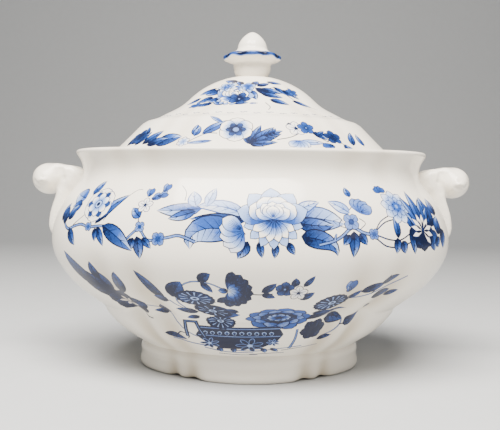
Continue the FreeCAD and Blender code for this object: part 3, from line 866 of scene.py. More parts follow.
def lay_stems(ink, rows, inks, thicker=(0.0, 0.0)):
    """Prints a table of stems, made thicker at the root and at the tip."""
    for places, root, tip in rows:
        ink.vine(places, root + thicker[0], tip + thicker[1], inks)


def print_garland(ink):
    """The wreath around the shoulder: one full flower, knotted branches and sprigs."""
    lay_leaves(ink, GARLAND_BACK_LEAVES, veins=4)
    ink.lay(-91.0, 102.0, leaf(42.0, 17.0, -24.0, MID, 7, 0.5, -92.0), -72)
    ink.lay(-78.0, 101.0, leaf(28.0, 12.0, 12.0, DEEP, 5, 0.36, 60.0), 96)
    ink.lay(-91.5, 104.0, petals(5, 15.0, 10.0, -150.0, 90.0, inks=(DEEP, FAINT), edge=DARK, rays=6))
    ink.lay(-84.5, 111.0, peony(18.0, 0.2))
    lay_stems(ink, GARLAND_STEMS, DARK)
    lay_leaves(ink, GARLAND_LEAVES)
    ink.lay(-112.5, 98.2, knot(4.2))
    ink.lay(-118.0, 105.0, knot(3.4, SOFT))
    ink.lay(-136.0, 103.8, knot(3.0))
    ink.lay(-58.3, 102.0, knot(3.6))
    ink.lay(-64.5, 109.5, knot(5.2, SOFT))
    ink.lay(-118.0, 118.0, star_flower(5.6, DEEP))
    for angle, height, turn in ((-116.5, 121.0, 44), (-115.0, 123.0, 60), (-113.6, 126.0, 10),
                                (-117.6, 123.0, -10)):
        ink.lay(angle, height, bud(7.0, 5.0, MID), turn)
    ink.lay(-135.0, 118.0, round_flower(13.0))
    ink.lay(-61.5, 114.5, petals(4, 11.0, 8.0, -10.0, 76.0, inks=(MID, SOFT), edge=DARK, rays=3))
    ink.lay(-47.6, 118.5, daisy(12.5))
    ink.lay(-51.0, 127.0, petals(4, 6.0, 4.5, -60.0, 110.0, inks=(DEEP, MID), edge=DARK, rays=0))
    ink.lay(-39.0, 103.0, spiky_flower(15.5), -4)


def print_planter(ink):
    """The footed basin that holds the lower bunch: a rim, an arcaded band and a belly."""
    basin = [(-24, 9), (27, 9), (29, 4), (25, -3), (19, -8), (12, -14), (-12, -14), (-20, -8), (-28, 2)]
    shapes = [shape(basin, (FULL, FULL))]
    for level in (8.6, 1.4):
        line = eased([(-26.0, level + 0.8), (0.0, level), (27.0, level + 0.8)])
        shapes += [stroke(line, 3.2, 3.2, FULL), stroke(line, 0.6, 0.6, SOFT)]
    for number in range(10):
        arch = petals(1, 3.8, 3.0, inks=(FULL, DEEP), edge=PALE, rays=0)
        shapes += moved(arch, 0.0, (4.7 * number - 21.0, 2.6))
    for across, drop, size in ((-19.0, 7.0, 7.0), (7.0, 9.0, 9.5), (22.0, 5.0, 4.6)):
        floret = petals(7, size, size * 0.4, 15.0, inks=(FULL, DARK), edge=SOFT, rays=0)
        shapes += moved(floret + [disc(size * 0.2, PALE, count=9)], 0.0, (across, -drop))
    for across, turn in ((-14.0, 160.0), (-4.0, 176.0), (15.0, 168.0), (20.0, 140.0)):
        shapes += moved(leaf(8.0, 4.5, 6.0, FULL, 0), turn, (across, -12.0))
    ink.lay(-94.0, 34.0, shapes)
    frame_line = np.array([(-4.5, -7.0), (-3.0, 7.0), (4.5, 7.2), (7.5, -6.5)])
    ink.lay(-111.0, 38.5, [stroke(frame_line, 3.0, 3.0, FULL), stroke(frame_line, 0.4, 0.4, SOFT)])
    ink.vine(((-73.0, 25.5), (-72.6, 33.0), (-73.0, 40.5)), 2.2, 1.6, FULL)


def ruffled_flower(ink, angle, height):
    """A wide flat flower of dark ruffled petals with pale fringes."""
    shapes = []
    for reach, wide, inks in ((13.0, 7.0, (FULL, MID)), (10.4, 5.4, (FULL, SOFT)), (7.6, 4.4, (FULL, DARK)),
                              (5.0, 3.2, (FULL, PALE))):
        shapes += petals(10, reach, wide * 1.15, reach * 9.0, inks=inks, edge=FULL, rays=1, frill=0.04)
    ink.lay(angle, height, widened(shapes + [disc(1.6, FULL, 5, 0.3)], 1.7))


def print_bunch(ink):
    """The lower bunch: flowers and seed heads that spill out of the planter. Its inks are
    mostly full, partly as painted shade over the lower belly.
    """
    lay_stems(ink, GROUND_STROKES, (DARK, DEEP), (0.3, 0.3))
    lay_stems(ink, VASE_STEMS, FULL, (0.5, 0.4))
    lay_leaves(ink, VASE_LEAVES, longer=1.15, wider=1.4, wash=0.7)
    ink.lay(-105.0, 62.0, wheel(12.5, 0.56), 8)
    ink.lay(-101.0, 53.5, wheel(12.0, 0.5, FULL, 9), 24)
    ink.lay(-65.8, 59.0, wheel(12.0, 0.66), -16)
    ink.lay(-95.5, 67.5, carnation(16.0), 96)
    ink.lay(-81.0, 69.0, petals(5, 6.2, 5.6, inks=(FULL, DEEP), edge=FULL, rays=1) + heart(1.2))
    ink.lay(-77.2, 66.5, star_flower(6.2, DARK))
    ruffled_flower(ink, -80.5, 49.0)
    print_planter(ink)
    ink.lay(-99.6, 46.0, wheel(9.5, 0.66), 6)
    ink.lay(-66.8, 39.0, petals(6, 9.0, 7.6, 20.0, 360.0, inks=(FULL, DARK), edge=FULL, rays=1))
    ink.lay(-63.5, 44.5, leaf(14.0, 9.0, 10.0, FULL, 3, wash=0.7), 86)
    ink.lay(-61.6, 66.0, bud(10.0, 8.0, DARK), -6)
    ink.lay(-131.5, 54.0, petals(5, 15.0, 15.0, inks=(FULL, DARK), edge=FULL, rays=1), 10)
    ink.lay(-131.5, 54.0, petals(6, 8.5, 3.6, inks=(BARE, BARE), edge=DEEP, rays=0), 40)


LID_LEAVES = (
    (-110.5, 163.5, 42, 16, 5.5, 12, SOFT), (-113, 162.5, -18, 9, 5, 10, MID),
    (-113.5, 162, 10, 8, 4, -8, SOFT), (-131.5, 158, 66, 15, 9, 10, DEEP),
    (-139, 157.5, 30, 13, 6, 10, DEEP), (-136, 157, 62, 13, 6, 12, DARK),
    (-144, 157, 20, 12, 5, 10, DEEP), (-148, 158, 30, 13, 6, 10, MID),
    (-151, 157, 10, 12, 6, 10, DEEP), (-142, 163, -30, 9, 5, 10, MID),
    (-63.5, 166, 120, 10, 4, 10, DARK), (-62.5, 163, 60, 8, 3, -12, DARK),
    (-73, 172, 190, 6, 2.5, 0, DARK), (-105, 159, -100, 16, 2.5, 6, PALE),
    (-103, 171.5, -60, 10, 2.5, 10, PALE), (-72, 158.5, 84, 16, 4, 10, FAINT),
    (-45, 158, 20, 12, 4, 10, MID), (-38, 158, 0, 10, 4, 14, SOFT),
)
DOME_LEAVES = (
    (-92, 197, 150, 10, 4.5, 10, DARK), (-87, 198.5, 120, 13, 5, 10, DARK),
    (-83, 198, 100, 14, 4.5, 10, DARK), (-82, 194, 96, 13, 4, 12, DEEP),
    (-85, 200, 60, 9, 4, 0, DARK), (-88, 201, 20, 6, 4, 0, DEEP),
    (-68, 200, 130, 12, 3.5, 8, MID), (-60, 198, 126, 12, 4, 6, DARK),
    (-56, 190, 120, 12, 4, 6, DEEP), (-96, 195, 200, 8, 3, 10, DARK),
    (-118, 197, -110, 12, 5, 10, DARK), (-124, 192, -120, 11, 5, 6, DEEP),
    (-114, 190, -100, 10, 5, 8, DARK), (-100, 201, -40, 7, 4, 6, DEEP),
    (-128, 199, -120, 12, 4, 6, MID), (-138, 192, -130, 10, 4, 6, MID),
    (-109, 186, -70, 10, 5, 10, DEEP), (-104, 186.5, 80, 9, 4, 8, DARK),
    (-120, 187, -110, 11, 5, 8, DEEP), (-76, 190, 112, 12, 5, 8, DARK),
    (-72, 204, 96, 10, 4, 6, DEEP), (-108, 203.5, -70, 10, 5, 6, DARK),
    (-92, 186.5, 80, 5, 2, 6, PALE), (-101, 186, -80, 5, 2, 6, PALE),
)
LID_STEMS = (
    (((-104, 164), (-108, 164), (-112, 161.5), (-116, 157.5)), 0.5, 0.4),
    (((-80, 160), (-74, 162), (-68, 166)), 0.5, 0.4),
    (((-66, 168), (-62, 163.5), (-58, 159.5)), 0.6, 0.5),
    (((-58, 160), (-54, 162), (-50, 157.5)), 0.6, 0.5),
    (((-95, 193), (-92, 197), (-87, 199), (-80, 197), (-66, 200)), 0.6, 0.4),
    (((-60, 196), (-50, 188), (-40, 184)), 0.5, 0.3),
    (((-80, 187.5), (-78, 184), (-80, 181.5)), 0.4, 0.3),
)


def print_lid(ink):
    """The lid's band of flowers, the ring of small curls, and the bunch on the dome."""
    for number in range(24):
        angle = -174.0 + 7.25 * number
        curl = eased([(-2.4, 0.4), (-0.8, -0.5), (0.8, 0.5), (2.4, -0.3)])
        ink.lay(angle, 178.8 + 0.8 * (number % 2), [stroke(curl, 0.9, 0.6, DEEP)])
    lay_stems(ink, LID_STEMS, DARK, (0.3, 0.2))
    lay_leaves(ink, LID_LEAVES + DOME_LEAVES, longer=1.25, wider=1.4, darker=0.15)
    for turn, reach in ((-8, 18), (16, 20), (38, 23), (58, 23), (78, 18), (-34, 10), (104, 11)):
        ink.lay(-90.5, 156.5, leaf(reach, reach * 0.32, 8.0, FULL, 3), turn)
    ink.lay(-85.0, 162.0, serrated_leaf(14.0, 11.0, DARK, 3), 62)
    flower = petals(6, 12.0, 11.2, inks=(MID, BARE), edge=DARK, rays=5, frill=0.03)
    flower += petals(6, 7.0, 4.4, 30.0, inks=(FULL, DEEP), edge=DARK, rays=0)
    ink.lay(-96.5, 166.5, flower + heart(2.0, SOFT, 8))
    ink.lay(-70.6, 168.0, star_flower(7.0, DEEP))
    ink.lay(-65.6, 168.6, petals(5, 6.4, 5.2, inks=(DARK, MID), edge=DARK, rays=1) + heart(1.0))
    ink.lay(-71.5, 160.0, petals(5, 9.5, 6.0, 130.0, 100.0, inks=(MID, FAINT), edge=DEEP, rays=1))
    ink.lay(-54.0, 163.0, petals(5, 7.0, 5.6, inks=(DARK, DEEP), edge=FULL, rays=1))
    ink.lay(-51.0, 158.0, bud(9.0, 8.0, DARK), 150)
    ink.lay(-56.5, 158.0, bud(9.0, 7.0, DEEP), -120)
    ink.lay(-117.5, 158.5, petals(6, 5.0, 3.8, inks=(SOFT, BARE), edge=DEEP, rays=0))
    ink.lay(-147.0, 163.0, petals(5, 8.0, 6.0, inks=(DARK, DEEP), edge=FULL, rays=1))
    ink.lay(-106.0, 192.0, peony(12.5, 0.35), 14)
    ink.lay(-117.0, 200.0, daisy(7.5, DARK, 7))
    rosette = petals(5, 8.0, 6.0, 20.0, 360.0, inks=(FULL, DEEP), edge=FULL, rays=1)
    ink.lay(-100.0, 190.0, rosette + heart(1.2))
    ink.lay(-94.0, 200.0, petals(5, 6.0, 4.6, 0.0, 360.0, inks=(DEEP, PALE), edge=DARK, rays=0))
    ink.lay(-48.0, 197.0, petals(5, 5.0, 3.6, 0.0, 360.0, inks=(DEEP, MID), edge=DARK, rays=0))
    ink.lay(-135.0, 186.0, petals(5, 5.0, 3.6, 0.0, 360.0, inks=(DEEP, MID), edge=DARK, rays=0))


# ---------------------------------------------------------------- handles and finial

SCROLL_CELL = 0.9
SCROLL_START = np.array([104.0, -27.0, 78.0])
SCROLL_END = np.array([164.0, 27.0, 152.0])
STRAP_LINE = (
    (116.0, 126.5, 6.0, 11.0),
    (123.0, 130.8, 6.0, 12.5),
    (131.0, 136.4, 6.0, 13.5),
    (140.0, 139.8, 6.0, 14.0),
)
WEB_LINE = (
    (131.0, 138.0, 6.0, 13.0),
    (134.5, 131.0, 5.0, 13.5),
    (137.2, 122.0, 4.4, 13.0),
    (140.6, 112.0, 4.4, 12.5),
    (142.0, 104.0, 4.6, 11.5),
    (141.6, 99.5, 4.9, 10.5),
    (139.8, 94.0, 4.2, 9.0),
    (137.0, 84.0, 3.6, 7.0),
)
WEB_BACK = (
    (124.0, 134.0, 8.0, 12.5),
    (130.0, 124.0, 7.0, 12.5),
    (135.0, 112.0, 6.0, 12.0),
    (136.5, 100.0, 6.0, 10.5),
    (135.0, 88.0, 5.0, 7.0),
)
ROLL_CENTRE = (148.4, 0.0, 135.0)
ROLL_SIZE = (11.4, 20.5, 11.4)

# Where a handle meets the bowl: the rows of the bowl's outer face and the heights
# between them, and how far under that face the handle is trimmed, in mm.
ROOT_ROWS = (6, 22)
ROOT_HEIGHTS = (60.0, 139.0)
ROOT_UNDER = 3.0

# Dents in the handle, each a line from one point to another with a radius: the
# volute's eye, the pinch at its outer end, and the crease between roll and leaf.
DENTS = (
    ((146.0, 20.8, 130.0), (152.0, 19.6, 129.2), 2.8),
    ((152.0, 19.6, 129.2), (156.0, 16.0, 132.5), 1.6),
    ((157.5, 13.0, 140.0), (159.6, 10.0, 136.0), 1.3),
    ((136.4, 15.0, 141.5), (135.4, 15.5, 135.0), 1.8),
    ((135.4, 15.5, 135.0), (137.6, 15.5, 128.0), 2.2),
)


def soft_union(first, second, blend):
    """The nearer of two distances, with the corner between them rounded."""
    share = np.clip(0.5 + 0.5 * (second - first) / blend, 0.0, 1.0)
    return second * (1.0 - share) + first * share - blend * share * (1.0 - share)


def bar_distance(places, line):
    """Distance to a flat bar that runs along a line of points. Each point holds its
    distance out, its height, half its thickness and half its width."""
    x, y, z = places[..., 0], np.abs(places[..., 1]), places[..., 2]
    nearest = np.full(x.shape, 1e3)
    line = eased(line, 3)
    for start, end in zip(line, line[1:]):
        way = end[:2] - start[:2]
        share = np.clip(((x - start[0]) * way[0] + (z - start[1]) * way[1]) / (way @ way), 0.0, 1.0)
        off = np.hypot(x - start[0] - share * way[0], z - start[1] - share * way[1])
        thick = start[2] + share * (end[2] - start[2])
        wide = start[3] + share * (end[3] - start[3])
        rounding = np.minimum(thick, 3.5)
        across = np.maximum(y - wide + rounding, 0.0)
        nearest = np.minimum(nearest, np.hypot(np.maximum(off - thick + rounding, 0.0), across) - rounding)
    return nearest


def dent_distance(places, start, end, radius):
    """Distance to a round-ended rod, on either side of the handle."""
    start, end = np.array(start), np.array(end)
    aside = places * (1.0, 0.0, 1.0) + (0.0, 1.0, 0.0) * np.abs(places[..., 1:2])
    way = end - start
    share = np.clip(((aside - start) @ way) / (way @ way), 0.0, 1.0)
    return np.linalg.norm(aside - start - share[..., None] * way, axis=-1) - radius


def scroll_distance(places):
    """Distance to the surface of a handle: a leaf strap that rolls over into a volute."""
    strap = bar_distance(places, STRAP_LINE)
    web = soft_union(bar_distance(places, WEB_LINE), bar_distance(places, WEB_BACK), 3.0)
    offset = (places - ROLL_CENTRE) / ROLL_SIZE
    reach = np.linalg.norm(offset, axis=-1)
    roll = (reach - 1.0) * ROLL_SIZE[0]
    turn = np.arctan2(offset[..., 2], offset[..., 0])
    width = np.clip(np.abs(offset[..., 1]), 0.0, 1.0)
    swirl = np.cos(turn - 2.2 - 2.6 * width)
    roll = roll + 1.2 * np.clip(width - 0.45, 0.0, 1.0) * (1.0 - swirl)
    body = soft_union(soft_union(strap, web, 4.0), roll, 4.5)
    for start, end, radius in DENTS:
        body = -soft_union(-body, dent_distance(places, start, end, radius), 1.6)
    return body


def scroll_surface(bowl):
    """Vertices, faces and normals of the right-hand handle, in mm. What would reach
    through the bowl's wall is trimmed away inside that wall."""
    counts = np.round((SCROLL_END - SCROLL_START) / SCROLL_CELL).astype(int)
    axes = [SCROLL_START[k] + SCROLL_CELL * np.arange(counts[k]) for k in range(3)]
    places = np.stack(np.meshgrid(*axes, indexing="ij"), axis=-1)
    grid = openvdb.FloatGrid()
    grid.copyFromArray(handle_field(places, bowl))
    corners, quads = grid.convertToQuads()
    vertices = SCROLL_START + corners * SCROLL_CELL
    for _ in range(3):
        slope = field_slope(vertices, bowl)
        value = handle_field(vertices, bowl)
        vertices = vertices - slope * np.clip(value, -0.6, 0.6)[:, None]
    return vertices, quads, field_slope(vertices, bowl)


def wall_depth(bowl, places):
    """How far a point is inside a face that lies under the bowl's outer surface."""
    ends = [bowl.along_at(height, *ROOT_ROWS) for height in ROOT_HEIGHTS]
    along = np.linspace(*ends, 160)
    section = bowl.section(along)
    height = places[..., 2]
    half = np.interp(height, section[:, 0], section[:, 1])
    reach = np.hypot(places[..., 0], places[..., 1] / OVAL_RATIO)
    return half - ROOT_UNDER - reach


def handle_field(places, bowl):
    """Distance to a handle that is trimmed inside the bowl's wall."""
    return np.maximum(scroll_distance(places), wall_depth(bowl, places))


def field_slope(places, bowl):
    """Unit direction in which the distance grows."""
    slope = np.empty_like(places)
    for k in range(3):
        nudge = np.zeros(3)
        nudge[k] = 0.25
        slope[:, k] = handle_field(places + nudge, bowl) - handle_field(places - nudge, bowl)
    return slope / np.maximum(np.linalg.norm(slope, axis=1), 1e-9)[:, None]


FINIAL_PROFILE = (
    (206.0, 0.0), (206.0, 8.0), (206.4, 10.4), (208.6, 11.0), (210.4, 11.4), (212.0, 12.0),
    (214.4, 12.9), (217.4, 13.5), (220.2, 13.9), (221.6, 15.9), (222.5, 18.8), (223.3, 20.6),
    (224.6, 21.2), (225.8, 21.1), (226.6, 20.0), (227.4, 17.4), (228.8, 14.0), (230.2, 11.8),
    (231.6, 10.9), (233.6, 10.5), (236.0, 9.6), (238.4, 8.1), (240.6, 6.1), (242.3, 4.0),
    (243.4, 2.0), (243.8, 0.0),
)
FINIAL_COLUMNS = 96
SKIRT_LOBES = 8
SKIRT_FROM, SKIRT_TO = 221.5, 229.5
SKIRT_LINE = 225.7


def finial_surface():
    """Points of the grip in mm, row by row, and its ink: a brushed line on the skirt's edge."""
    profile = eased(FINIAL_PROFILE, 3)
    height, radius = profile[:, 0][:, None], profile[:, 1][:, None]
    turn = np.linspace(0.0, 2.0 * np.pi, FINIAL_COLUMNS, endpoint=False)[None, :]
    flare = np.clip((radius - 13.5) / 7.0, 0.0, 1.0) * (height > SKIRT_FROM) * (height < SKIRT_TO)
    lobe = np.abs(np.cos(turn * SKIRT_LOBES / 2.0)) ** 0.7
    reach = radius - flare * 1.5 * (1.0 - lobe)
    z = height + flare * 0.2 * np.cos(turn * SKIRT_LOBES) + 0.0 * turn
    places = np.stack([reach * np.cos(turn), reach * np.sin(turn), z], axis=-1)
    wobble = 0.35 * np.sin(turn * 5.0 + 0.6) + 0.25 * np.sin(turn * 13.0)
    line = np.clip(2.3 - np.abs(height - SKIRT_LINE - wobble) * 1.1, 0.0, 1.0) * (flare > 0.55)
    return places, line * (0.8 + 0.2 * np.sin(turn * 9.0))


# ---------------------------------------------------------------- materials


def linear(hex_colour):
    """An sRGB hex colour as linear red, green and blue."""
    parts = [int(hex_colour[k:k + 2], 16) / 255.0 for k in (1, 3, 5)]
    return tuple(p / 12.92 if p <= 0.04045 else ((p + 0.055) / 1.055) ** 2.4 for p in parts)


def add_node(material, kind, links=None, **settings):
    """A node with its settings. Links maps an input's name or number to an output socket."""
    tree = material.node_tree
    node = tree.nodes.new(kind)
    for name, value in settings.items():
        if name in node.inputs:
            node.inputs[name].default_value = value
        else:
            setattr(node, name, value)
    for name, socket in (links or {}).items():
        tree.links.new(socket, node.inputs[name])
    return node


def new_material(name):
    """An empty node material."""
    material = bpy.data.materials.new(name)
    material.use_nodes = True
    material.node_tree.nodes.clear()
    return material


def blend(material, factor, under, over):
    """A mix of two colours, each a socket or a linear colour."""
    node = add_node(material, "ShaderNodeMix", {"Factor": factor}, data_type="RGBA")
    for number, colour in ((6, under), (7, over)):
        if isinstance(colour, bpy.types.NodeSocket):
            material.node_tree.links.new(colour, node.inputs[number])
        else:
            node.inputs[number].default_value = (*colour, 1.0)
    return node.outputs[2]


def set_ramp(node, stops):
    """Fills a colour ramp with stops, each a place and a linear colour."""
    ramp = node.color_ramp
    while len(ramp.elements) < len(stops):
        ramp.elements.new(0.5)
    for element, (place, colour) in zip(ramp.elements, stops):
        element.position = place
        element.color = (*colour, 1.0)


IRON = "#6E5A48"
CLEAR_GLAZE = {
    "Roughness": 0.42, "IOR": 1.5, "Specular IOR Level": 0.08,
    "Coat Weight": 0.55, "Coat Roughness": 0.13, "Coat IOR": 1.5,
}


def iron_specks(material, place):
    """How much of an iron speck shows at each place: a small dot in a few of the cells."""
    cells = add_node(material, "ShaderNodeTexVoronoi", {"Vector": place}, Scale=62.0, Randomness=1.0)
    edge = {"From Min": 0.035, "From Max": 0.02}
    speck = add_node(material, "ShaderNodeMapRange", {"Value": cells.outputs["Distance"]}, **edge)
    pick = add_node(material, "ShaderNodeSeparateColor", {"Color": cells.outputs["Color"]})
    rare = add_node(material, "ShaderNodeMath", {0: pick.outputs["Red"]}, operation="GREATER_THAN")
    rare.inputs[1].default_value = 0.86
    seen = add_node(material, "ShaderNodeMath", {0: speck.outputs["Result"], 1: rare.outputs[0]},
                    operation="MULTIPLY")
    return seen.outputs[0]


def glazed_ware(name, settings, printed):
    """Lead-glazed cream earthenware. The body gives a warm cream under a thick clear
    glaze, which lies in gentle waves, pools a little greener in the creases, where it
    also carries painted shade, and shows a few iron specks. Printed ware carries
    cobalt transfer under that glaze."""
    material = new_material(name)
    place = add_node(material, "ShaderNodeTexCoord").outputs["Object"]
    glaze = add_node(material, "ShaderNodeVertexColor", layer_name="glaze").outputs["Color"]
    parts = add_node(material, "ShaderNodeSeparateColor", {"Color": glaze}).outputs
    cloud = add_node(material, "ShaderNodeTexNoise", {"Vector": place}, Scale=28.0, Detail=3.0)
    body = blend(material, cloud.outputs["Fac"], settings.glaze, settings.glaze_warm)
    # Pooled glaze and painted crease shade, from the green corner colour.
    pooled_and_shaded = blend(material, parts["Green"], body, settings.glaze_pool_and_shade)
    colour = blend(material, iron_specks(material, place), pooled_and_shaded, linear(IRON))
    if printed:
        colour = printed_colour(material, settings, place, parts["Red"], colour)
    # Waves of about 25 mm, and the finer pull of the glaze at about 4 mm.
    wave = add_node(material, "ShaderNodeTexNoise", {"Vector": place}, Scale=40.0, Detail=1.0)
    pull = add_node(material, "ShaderNodeTexNoise", {"Vector": place}, Scale=240.0, Detail=1.0)
    height = add_node(material, "ShaderNodeMath", {0: pull.outputs["Fac"], 2: wave.outputs["Fac"]},
                      operation="MULTIPLY_ADD")
    height.inputs[1].default_value = 0.12
    bump = add_node(material, "ShaderNodeBump", {"Height": height.outputs[0]}, Strength=0.18, Distance=0.0016)
    links = {"Base Color": colour, "Coat Normal": bump.outputs["Normal"]}
    shader = add_node(material, "ShaderNodeBsdfPrincipled", links, **CLEAR_GLAZE)
    add_node(material, "ShaderNodeOutputMaterial", {"Surface": shader.outputs[0]})
    return material


def printed_colour(material, settings, place, ink, bare):
    """Cobalt print over the body colour. The ink is engraved in fine stipple, about
    0.6 mm, and lies unevenly, so that it runs from a pale wash to navy."""
    grain = add_node(material, "ShaderNodeTexNoise", {"Vector": place}, Scale=900.0, Detail=2.0)
    even = add_node(material, "ShaderNodeTexNoise", {"Vector": place}, Scale=120.0, Detail=2.0)
    mottle = add_node(material, "ShaderNodeMath", {0: grain.outputs["Fac"], 1: even.outputs["Fac"]},
                      operation="ADD")
    spread = {"From Min": 0.6, "From Max": 1.4, "To Min": 0.86, "To Max": 1.24}
    factor = add_node(material, "ShaderNodeMapRange", {"Value": mottle.outputs[0]}, **spread)
    amount = add_node(material, "ShaderNodeMath", {0: ink, 1: factor.outputs[0]},
                      operation="MULTIPLY", use_clamp=True)
    ramp = add_node(material, "ShaderNodeValToRGB", {"Fac": amount.outputs[0]})
    stops = (0.0, settings.wash), (0.16, settings.wash), (0.5, settings.cobalt), (0.92, settings.navy)
    set_ramp(ramp, stops)
    cover = add_node(material, "ShaderNodeMapRange", {"Value": amount.outputs[0]}, **{"From Max": 0.2})
    return blend(material, cover.outputs[0], bare, ramp.outputs["Color"])


# ---------------------------------------------------------------- settings and operators


def colour_setting(name, description, hex_colour):
    """A colour in the panel."""
    colour = linear(hex_colour)
    return FloatVectorProperty(name=name, description=description, subtype="COLOR", size=3, default=colour)


class TureenSettings(PropertyGroup):
    glaze: colour_setting("Glaze", "Cream of the glazed body", "#F3EDE2")
    glaze_warm: colour_setting("Warm glaze", "Cream where the body shows warmer", "#EAE2D3")
    # Pooled glaze together with painted shade in the creases.
    glaze_pool_and_shade: colour_setting("Pooled glaze", "Glaze that has pooled in the creases", "#CDC1AC")
    wash: colour_setting("Wash", "Palest ink of the print", "#9DB6E2")
    cobalt: colour_setting("Cobalt", "Middle ink of the print", "#2B519F")
    navy: colour_setting("Navy", "Darkest ink of the print", "#0A1330")
    floor: colour_setting("Floor", "Colour of the studio floor", "#BDBFC1")
    lobe_depth: FloatProperty(
        name="Lobe depth", description="Depth of the creases between the lobes", subtype="FACTOR",
        default=1.0, min=0.0, max=1.5)
    sweep_size: FloatProperty(
        name="Floor size", description="Half the width of the studio floor", unit="LENGTH",
        default=4.0, min=1.0)


def tureen_settings(context):
    return context.scene.tureen_settings


def finish_piece(piece, material, body, node):
    """Gives a piece its material, and ties it to the CAD body and node it stands for."""
    piece.data.materials.append(material)
    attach(piece, body)
    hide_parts(node)


def ware_material(context, printed):
    """The glaze shared by every piece of one kind."""
    name = "earthenware_transfer_printed_glazed" if printed else "earthenware_cast_glazed"
    found = bpy.data.materials.get(name)
    return found or glazed_ware(name, tureen_settings(context), printed)


def full_turn(extra=()):
    """Column angles once round the oval."""
    return np.unique(np.concatenate([np.arange(-180.0, 181.0, COLUMN_STEP), extra]))


def bowl_form(context):
    return Form(BOWL_PROFILE, tureen_settings(context).lobe_depth, rim_dip=RIM_DIP)


class TUREEN_OT_bowl(Operator):
    """Builds the printed bowl: one closed wall with its rolled lip and lobed belly"""
    bl_idname = "tureen.bowl"
    bl_label = "Bowl"

    def execute(self, context):
        form = bowl_form(context)
        columns = full_turn()
        ink = Print(form, columns, *BOWL_PRINT)
        print_bunch(ink)
        print_garland(ink)
        printed = ink.patch()
        lip_end = form.knots[LIP_END_ROW]
        patches = [
            bare_patch(columns, rows_between(0.0, ink.low, WIDE_ROW)),
            printed,
            turned_half(printed),
            bare_patch(columns, rows_between(ink.high, lip_end, FINE_ROW)),
            bare_patch(columns, rows_between(lip_end, form.length, WIDE_ROW)),
        ]
        piece = ware_piece("bowl_ware", form, patches)
        finish_piece(piece, ware_material(context, True), "tureen", "bowl")
        return {"FINISHED"}


class TUREEN_OT_ledge(Operator):
    """Builds the ring inside the neck that seats the lid"""
    bl_idname = "tureen.ledge"
    bl_label = "Ledge"

    def execute(self, context):
        form = Form(LEDGE_PROFILE)
        net = bare_patch(full_turn(), rows_between(0.0, form.length, LEDGE_ROW))
        piece = ware_piece("ledge_ware", form, [net], closed_ring=True)
        finish_piece(piece, ware_material(context, False), "tureen", "ledge")
        return {"FINISHED"}


class TUREEN_OT_foot(Operator):
    """Builds the scalloped foot ring under the bowl"""
    bl_idname = "tureen.foot"
    bl_label = "Foot"

    def execute(self, context):
        form = Form(FOOT_PROFILE, tureen_settings(context).lobe_depth)
        net = bare_patch(full_turn(), rows_between(0.0, form.length, FINE_ROW))
        piece = ware_piece("foot_ware", form, [net], closed_ring=True)
        finish_piece(piece, ware_material(context, False), "tureen", "foot")
        return {"FINISHED"}


class TUREEN_OT_handles(Operator):
    """Builds the two scrolled handles"""
    bl_idname = "tureen.handles"
    bl_label = "Handles"

    def execute(self, context):
        vertices, quads, normals = scroll_surface(bowl_form(context))
        if not len(quads):
            raise RuntimeError("the handle's surface came out empty")
        bare = np.tile((0.0, 0.0, 0.0, 1.0), (quads.size, 1))
        for side, node in ((1.0, "handle_right"), (-1.0, "handle_left")):
            mirror = np.array([side, 1.0, 1.0])
            faces = quads if side > 0 else quads[:, ::-1]
            piece = mesh_object(node + "_ware", vertices * mirror, faces, bare, normals * mirror)
            finish_piece(piece, ware_material(context, False), "tureen", node)
        return {"FINISHED"}


class TUREEN_OT_lid(Operator):
    """Builds the printed lid with its flange and ladle notch"""
    bl_idname = "tureen.lid"
    bl_label = "Lid"

    def execute(self, context):
        form = Form(LID_PROFILE, tureen_settings(context).lobe_depth, notched=True)
        columns = full_turn(np.concatenate([NOTCH_COLUMNS, NOTCH_COLUMNS + 180.0]))
        ink = Print(form, columns, *LID_PRINT)
        print_lid(ink)
        printed = ink.patch()
        rim_start = form.knots[RIM_START_ROW]
        patches = [
            bare_patch(columns, rows_between(0.0, rim_start, WIDE_ROW)),
            bare_patch(columns, rows_between(rim_start, ink.low, FINE_ROW)),
            printed,
            turned_half(printed),
            bare_patch(columns, rows_between(ink.high, form.length, WIDE_ROW)),
        ]
        piece = ware_piece("lid_ware", form, patches)
        finish_piece(piece, ware_material(context, True), "cover", "lid")
        return {"FINISHED"}


class TUREEN_OT_finial(Operator):
    """Builds the grip: a cup-shaped stem, a lobed skirt with a brushed blue edge, and an acorn"""
    bl_idname = "tureen.finial"
    bl_label = "Finial"

    def execute(self, context):
        places, ink = finial_surface()
        rows, columns = ink.shape
        number = np.arange(rows * columns).reshape(rows, columns)
        beside = np.roll(number, -1, axis=1)
        quads = np.stack([number[:-1], beside[:-1], beside[1:], number[1:]], axis=-1).reshape(-1, 4)
        corners = np.zeros((len(quads), 4, 4))
        corners[..., 0] = ink.reshape(-1)[quads]
        corners[..., 3] = 1.0
        piece = mesh_object("finial_ware", places.reshape(-1, 3), quads, corners)
        close_ends(piece.data)
        finish_piece(piece, ware_material(context, True), "cover", "finial")
        return {"FINISHED"}


def close_ends(mesh):
    """Draws a turned piece's first and last rows together, each to one point."""
    shaped = bmesh.new()
    shaped.from_mesh(mesh)
    bmesh.ops.remove_doubles(shaped, verts=shaped.verts, dist=1e-6)
    shaped.to_mesh(mesh)
    shaped.free()


# ---------------------------------------------------------------- stage


CAMERA_PLACE = (0.0, -0.524, 0.126)
CAMERA_DOWN = 1.9
CAMERA_ROLL = 0.65
CAMERA_LENS = 50.98
CAMERA_SHIFT = (-0.001, 0.003)

# Floor, in metres: where it starts to sweep up, the radius of the sweep, and the
# top of its back as a distance and a height.
SWEEP_START = 1.2
SWEEP_RADIUS = 0.9
SWEEP_TOP = (2.15, 3.5)

# Soft boxes: place, point they face, width and height in metres, power in watts.
SOFT_BOXES = (
    ((-0.12, -0.6, 1.12), (0.0, 0.0, 0.12), (1.1, 0.5), 76.0),
    ((0.9, -0.8, 0.7), (0.0, 0.0, 0.1), (0.8, 0.8), 4.0),
)


